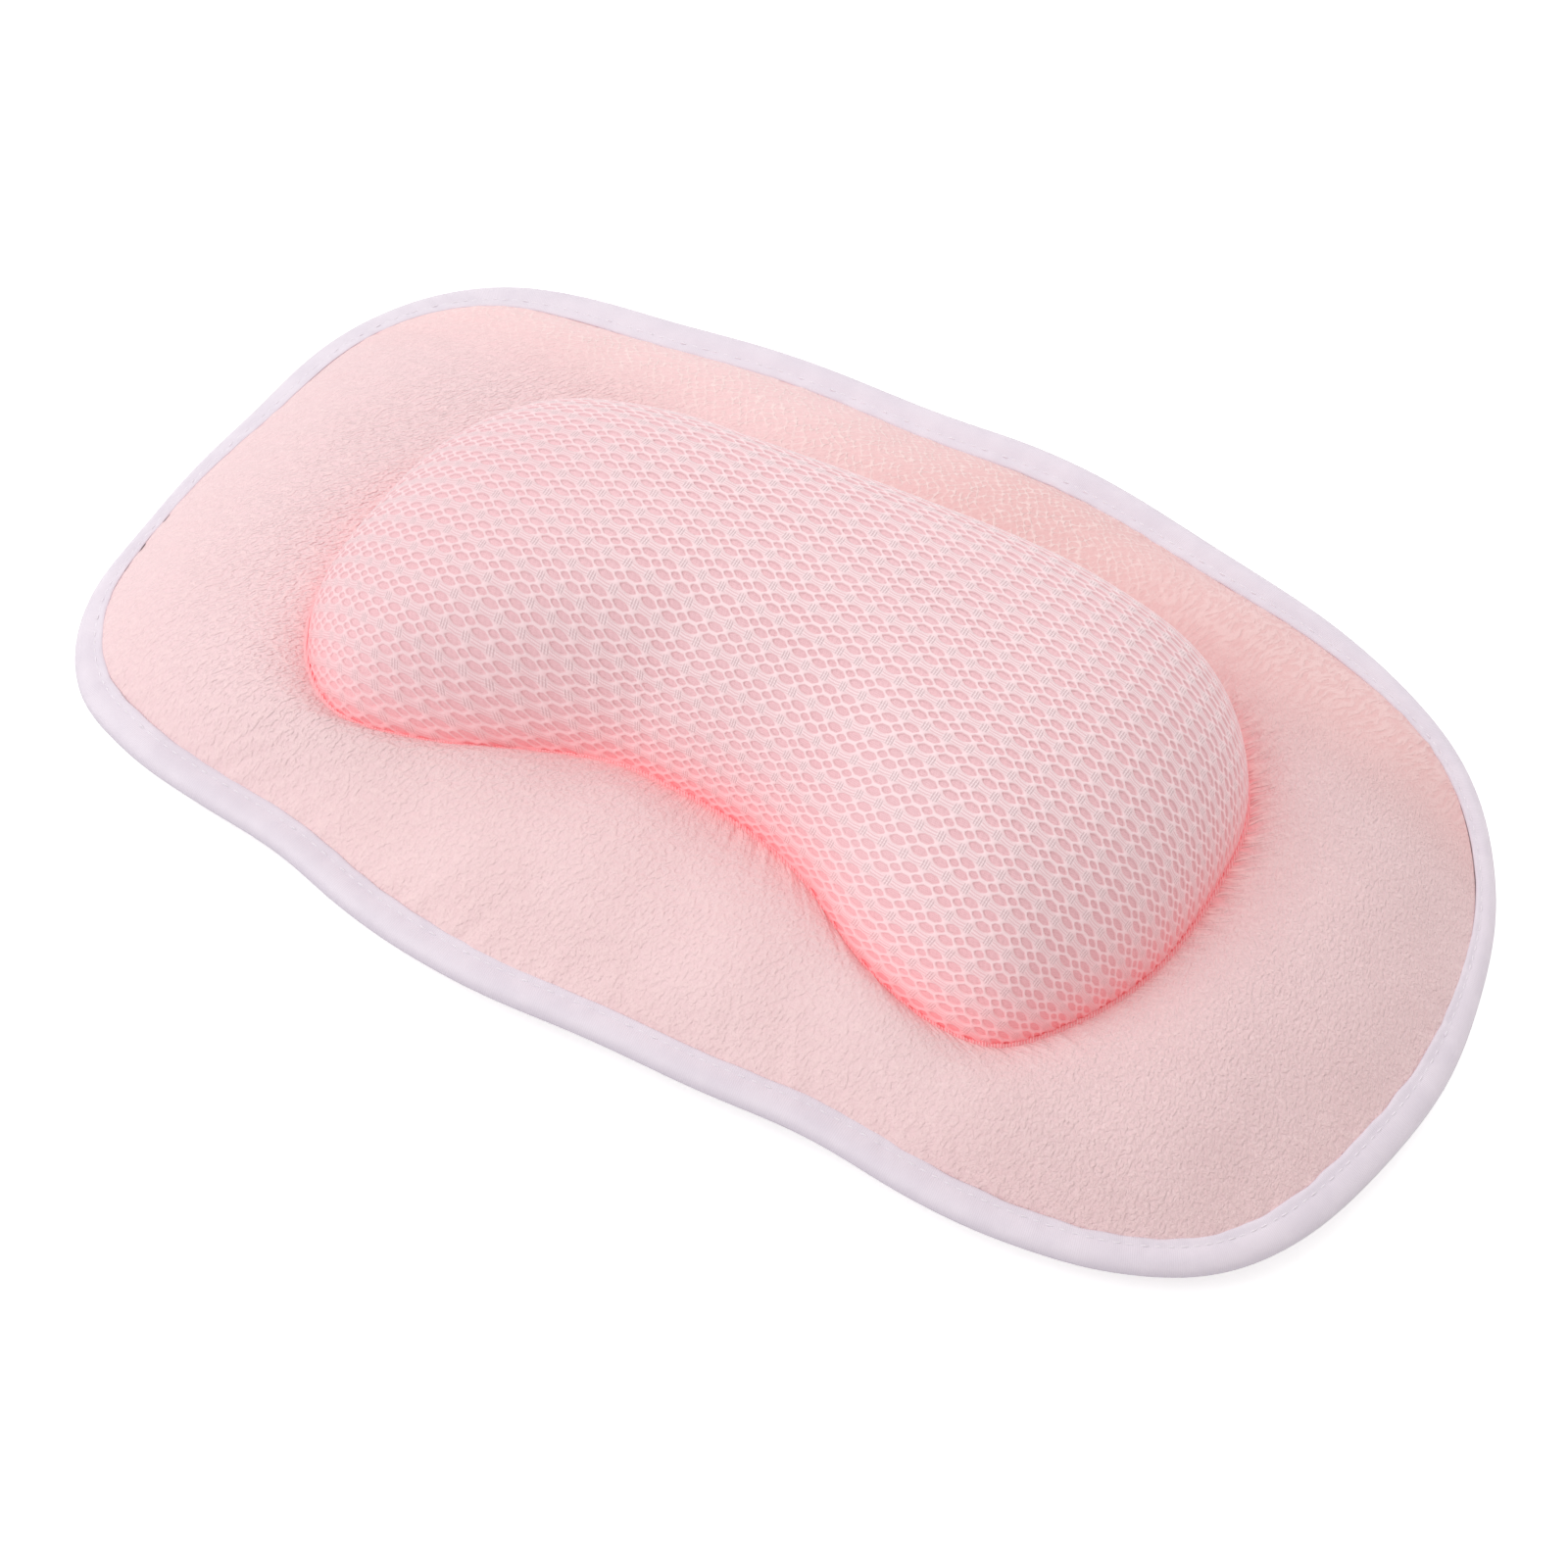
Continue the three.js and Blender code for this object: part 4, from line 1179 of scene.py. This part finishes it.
def makeLattice(pitch):
    # the cell repeated over the whole cloth, with the points that cells share merged
    cell, heights, cellFaces = netCell(pitch)
    spanX, spanY = (int(reach / step) for reach, step in zip(bolster["netReach"], pitch))
    i, j = np.meshgrid(np.arange(-spanX, spanX + 1), np.arange(-spanY, spanY + 1), indexing="ij")
    corner = np.stack([i.ravel(), j.ravel()], -1)
    lattice = (corner[:, None, :] + cell[None]).reshape(-1, 2)
    lift = np.tile(heights, len(corner))
    faces = (np.arange(len(corner))[:, None, None] * len(cell) + cellFaces[None]).reshape(-1, 4)
    keys = np.concatenate([np.round(lattice * 4000), np.round(lift * 100)[:, None]], 1)
    keys = keys.astype(np.int64)
    _, first, back = np.unique(keys, axis=0, return_index=True, return_inverse=True)
    return lattice[first], lift[first], back.reshape(-1)[faces]


def makeNet():
    # the lattice is laid on the flat cloth, drifting and leaning a little, and each of
    # its points is lifted along the dome's normal there
    raster, low = clothRaster()
    slopeX, slopeY = np.gradient(raster[..., :3], axis=0), np.gradient(raster[..., :3], axis=1)
    normals = np.cross(slopeX, slopeY)
    normals /= np.maximum(np.linalg.norm(normals, axis=-1), 1e-9)[..., None]
    pitch = np.array([bolster["repeatAlong"], bolster["repeatAcross"]])
    lattice, lift, faces = makeLattice(pitch)
    wide = lattice * np.array(bolster["driftScale"])
    drift = np.stack([swell(waves, wide[:, 0], wide[:, 1]) for waves in bolster["driftWaves"]], -1)
    cloth = lattice * pitch + drift * np.array(bolster["netDrift"]) + np.array(bolster["netShift"])
    cloth[:, 1] -= cloth[:, 0] * bolster["stripeLean"]
    inside = ((cloth > low) & (cloth < low + np.array(raster.shape[:2]) - 1)).all(1)
    place, normal = np.full((len(cloth), 4), np.nan), np.full((len(cloth), 3), np.nan)
    place[inside] = readRaster(raster, low, cloth[inside])
    normal[inside] = readRaster(normals, low, cloth[inside])
    # faces that reach past the tuck or off the raster go, and the rest is renumbered
    keep = np.isfinite(place).all(1) & np.isfinite(normal).all(1) & (place[:, 3] < bolster["tuck"])
    faces = faces[keep[faces].all(1)]
    used, faces = np.unique(faces, return_inverse=True)
    faces = faces.reshape(-1, 4)
    place, normal, lift, lattice = place[used], normal[used], lift[used], lattice[used]
    points = place[:, :3] + normal * lift[:, None]
    # painted pink light from the seam, running further up the right end as painted shade
    bounceField = seamBounceLight(place[:, 0], -np.minimum(place[:, 3], 0))
    yarnHeights = [bolster[k] for k in ("yarnBase", "yarnMiddle", "yarnRidge")]
    strands = np.interp(lift, yarnHeights, [0.0, 0.3, 1.0])
    piece = makePiece("bolster_net_cover", points, faces, finishes["yarn"],
                      {"lattice": lattice[faces]}, {"seamBounceLight": bounceField, "strand": strands})
    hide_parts("bolster_net")
    print("net faces", len(faces))


cups = {
    "places": [(x, y) for y in (-60.458, 60.458) for x in (-95, 0, 95)],
    "segments": 96,
    "profile": [                # radius and height, from the hollow's middle to the button's
        (0.0, 3.8), (4.5, 3.65), (9.1, 3.29), (13.0, 2.5), (15.9, 1.6), (17.4, 0.6), (18.2, 0.0),
        (19.0, 0.0), (19.8, 0.05), (20.0, 0.3), (19.9, 0.7), (18.8, 1.3), (16.2, 2.5), (13.5, 4.0),
        (10.4, 5.1), (8.2, 5.9), (7.2, 6.7), (7.0, 7.6), (7.0, 11.0), (7.3, 11.5), (8.2, 11.9),
        (8.5, 12.3), (8.35, 12.7), (4.3, 12.7), (4.0, 12.9), (4.0, 16.9), (4.3, 17.1), (6.7, 17.1),
        (7.0, 17.5), (6.9, 18.4), (6.0, 19.6), (4.2, 20.4), (2.0, 20.5), (0.0, 20.5)],
    "patch": [(4.3, 13.0), (14.6, 13.0), (15.0, 13.2), (15.0, 13.6), (14.6, 13.8), (4.3, 13.8)],
    # radius, lowest and highest of what is cut for each cup
    "hole": (4.3, 10.0, 19.0),  # the neck's way through the back cover
    "pocket": (10.3, 12.0, 20.8),               # the button's and the washer's room in the wadding
    "cutterSides": 48,
}


def revolve(profile, segments, closed):
    # profile of radius and height turned about an upright axis
    profile = np.array(profile)
    angle = np.arange(segments) / segments * 2 * np.pi
    x = np.multiply.outer(np.cos(angle), profile[:, 0])
    y = np.multiply.outer(np.sin(angle), profile[:, 0])
    z = np.broadcast_to(profile[:, 1], x.shape)
    return np.stack([x, y, z], -1), gridFaces(segments, len(profile), closed)[0]


def makeCups():
    for number, (x, y) in enumerate(cups["places"], 1):
        move = np.array([x, y, 0.0])
        rings, _ = revolve(cups["profile"][1:-1], cups["segments"], False)
        tips = ([[x, y, cups["profile"][end][1]]] for end in (0, -1))
        points, quads, fans = capped(rings + move, *tips)
        piece = makePiece(
            f"cup_{number}", points, quads, finishes["vinyl"], loose=fans)
        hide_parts(f"suction_cup_{number}")
        rings, faces = revolve(cups["patch"], cups["segments"], True)
        piece = makePiece(
            f"patch_{number}", rings + move, faces, finishes["patchCloth"])
        fixNormals(piece.data)
        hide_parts(f"cup_patch_{number}")
        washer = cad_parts[f"cup_washer_{number}"]         # its shape is right, so it stays
        washer.data.materials.clear()
        washer.data.materials.append(finishes["washer"])


def cutCylinders(piece, kind):
    # an upright cylinder at each cup is taken out of the piece
    radius, low, high = cups[kind]
    sides = cups["cutterSides"]
    angle = np.arange(sides) / sides * 2 * np.pi
    circle = np.stack([np.cos(angle), np.sin(angle)], -1) * radius
    i = np.arange(sides)
    after = (i + 1) % sides
    points, faces = [], []
    for number, place in enumerate(cups["places"]):
        for height in (low, high):
            points.append(np.concatenate([circle + place, np.full((sides, 1), height)], -1))
        bottom = number * 2 * sides
        top = bottom + sides
        faces += np.stack([bottom + i, bottom + after, top + after, top + i], -1).tolist()
        faces += [(bottom + i[::-1]).tolist(), (top + i).tolist()]
    mesh = bpy.data.meshes.new("cutter")
    mesh.from_pydata(np.vstack(points) / 1000, [], faces)
    cutter = bpy.data.objects.new("cutter", mesh)
    scene.collection.objects.link(cutter)
    cut = piece.modifiers.new("cut", "BOOLEAN")
    cut.operation, cut.solver, cut.object = "DIFFERENCE", "EXACT", cutter
    bpy.context.view_layer.update()
    evaluated = piece.evaluated_get(bpy.context.evaluated_depsgraph_get())
    whole, piece.data = piece.data, bpy.data.meshes.new_from_object(evaluated)
    piece.modifiers.clear()
    bpy.data.meshes.remove(whole)
    piece.data.name = piece.name
    bpy.data.objects.remove(cutter)


stage = {
    "half": 6, "drop": 0.0003,  # the floor's half width and how far it lies below the cups
    "tint": "#F2F2F2", "roughness": 0.9, "specular": 0.1,
    "glow": 0.55,               # brings the floor up to white for the camera alone
}


def seenDirectly(tree):
    # 1 for what the camera sees, also in a mirror or through glass, and 0 for other light
    rays = Wire(tree).make("ShaderNodeLightPath")
    outs = {out.name: Wire(tree, out) for out in rays.socket.node.outputs}
    return (outs["Is Camera Ray"] + outs["Is Glossy Ray"] + outs["Is Transmission Ray"]).least(1.0)


def makeFloor():
    half, drop = stage["half"], -stage["drop"]
    corners = [(x * half, y * half, drop) for x, y in ((-1, -1), (1, -1), (1, 1), (-1, 1))]
    mesh = bpy.data.meshes.new("floor")
    mesh.from_pydata(corners, [], [(0, 1, 2, 3)])
    floor = bpy.data.objects.new("floor", mesh)
    scene.collection.objects.link(floor)
    paper = Finish("floorPaper", stage["roughness"], Specular_IOR_Level=stage["specular"])
    paper.colour(tint(stage["tint"]))
    paper.feed("Emission Color", (1, 1, 1, 1))
    paper.feed("Emission Strength", seenDirectly(paper.tree) * stage["glow"])
    mesh.materials.append(paper.material)


def makeWorld():
    world = scene.world = bpy.data.worlds.new("studio")
    world.use_nodes = True
    tree = world.node_tree
    seen = seenDirectly(tree)
    strength = seen * (1 - light["worldStrength"]) + light["worldStrength"]
    background = tree.nodes["Background"].inputs
    tree.links.new(seen.blend(light["worldTint"], (1, 1, 1, 1)).socket, background["Color"])
    tree.links.new(strength.socket, background["Strength"])


scene.view_settings.view_transform = "Standard"
makeCamera()
makeLamp("key")
makeLamp("back")
makeFloor()
makeWorld()
print("camera, lamps and floor ready")
finishes = {
    "padKnit": knitFinish(),
    "yarn": yarnFinish(),
    "fold": foldFinish(),
    "ground": groundFinish(),
    "tape": tapeFinish(),
    "thread": threadFinish(),
    "backCloth": wovenFinish("backCloth", ("#EBC3C8", "#F3D2D5"), 0.9, 0.14),
    "patchCloth": wovenFinish("patchCloth", ("#DDD3E3", "#ECE5F0"), 0.6, 0.10, 0.7),
    "panel": wovenFinish("panelCotton", ("#F1ECE8", "#FAF7F4"), 0.8, 0.10),
    "wadding": paddingFinish("waddingFibre", ("#ECEAE6", "#FAF9F7"), 0.12, 0.95),
    "foam": paddingFinish("foamCells", ("#F0E4C8", "#F8F0DC"), 0.5, 0.95),
    "vinyl": vinylFinish(),
    "washer": mouldedFinish(),
}
edgeSway = binding["sway"] * ripple(binding["swayWaves"])
print("finishes ready")
makePadTop()
print("pad cover ready")
makePadBack()
makeWadding()
print("pad inside ready")
makeBinding()
makeStitches("binding_stitches_top", 1)
makeStitches("binding_stitches_back", -1)
print("binding ready")
makeGround()
makeCore()
makeBasePanel()
makeNet()
makeFold()
print("bolster ready")
makeCups()
print("cups ready")
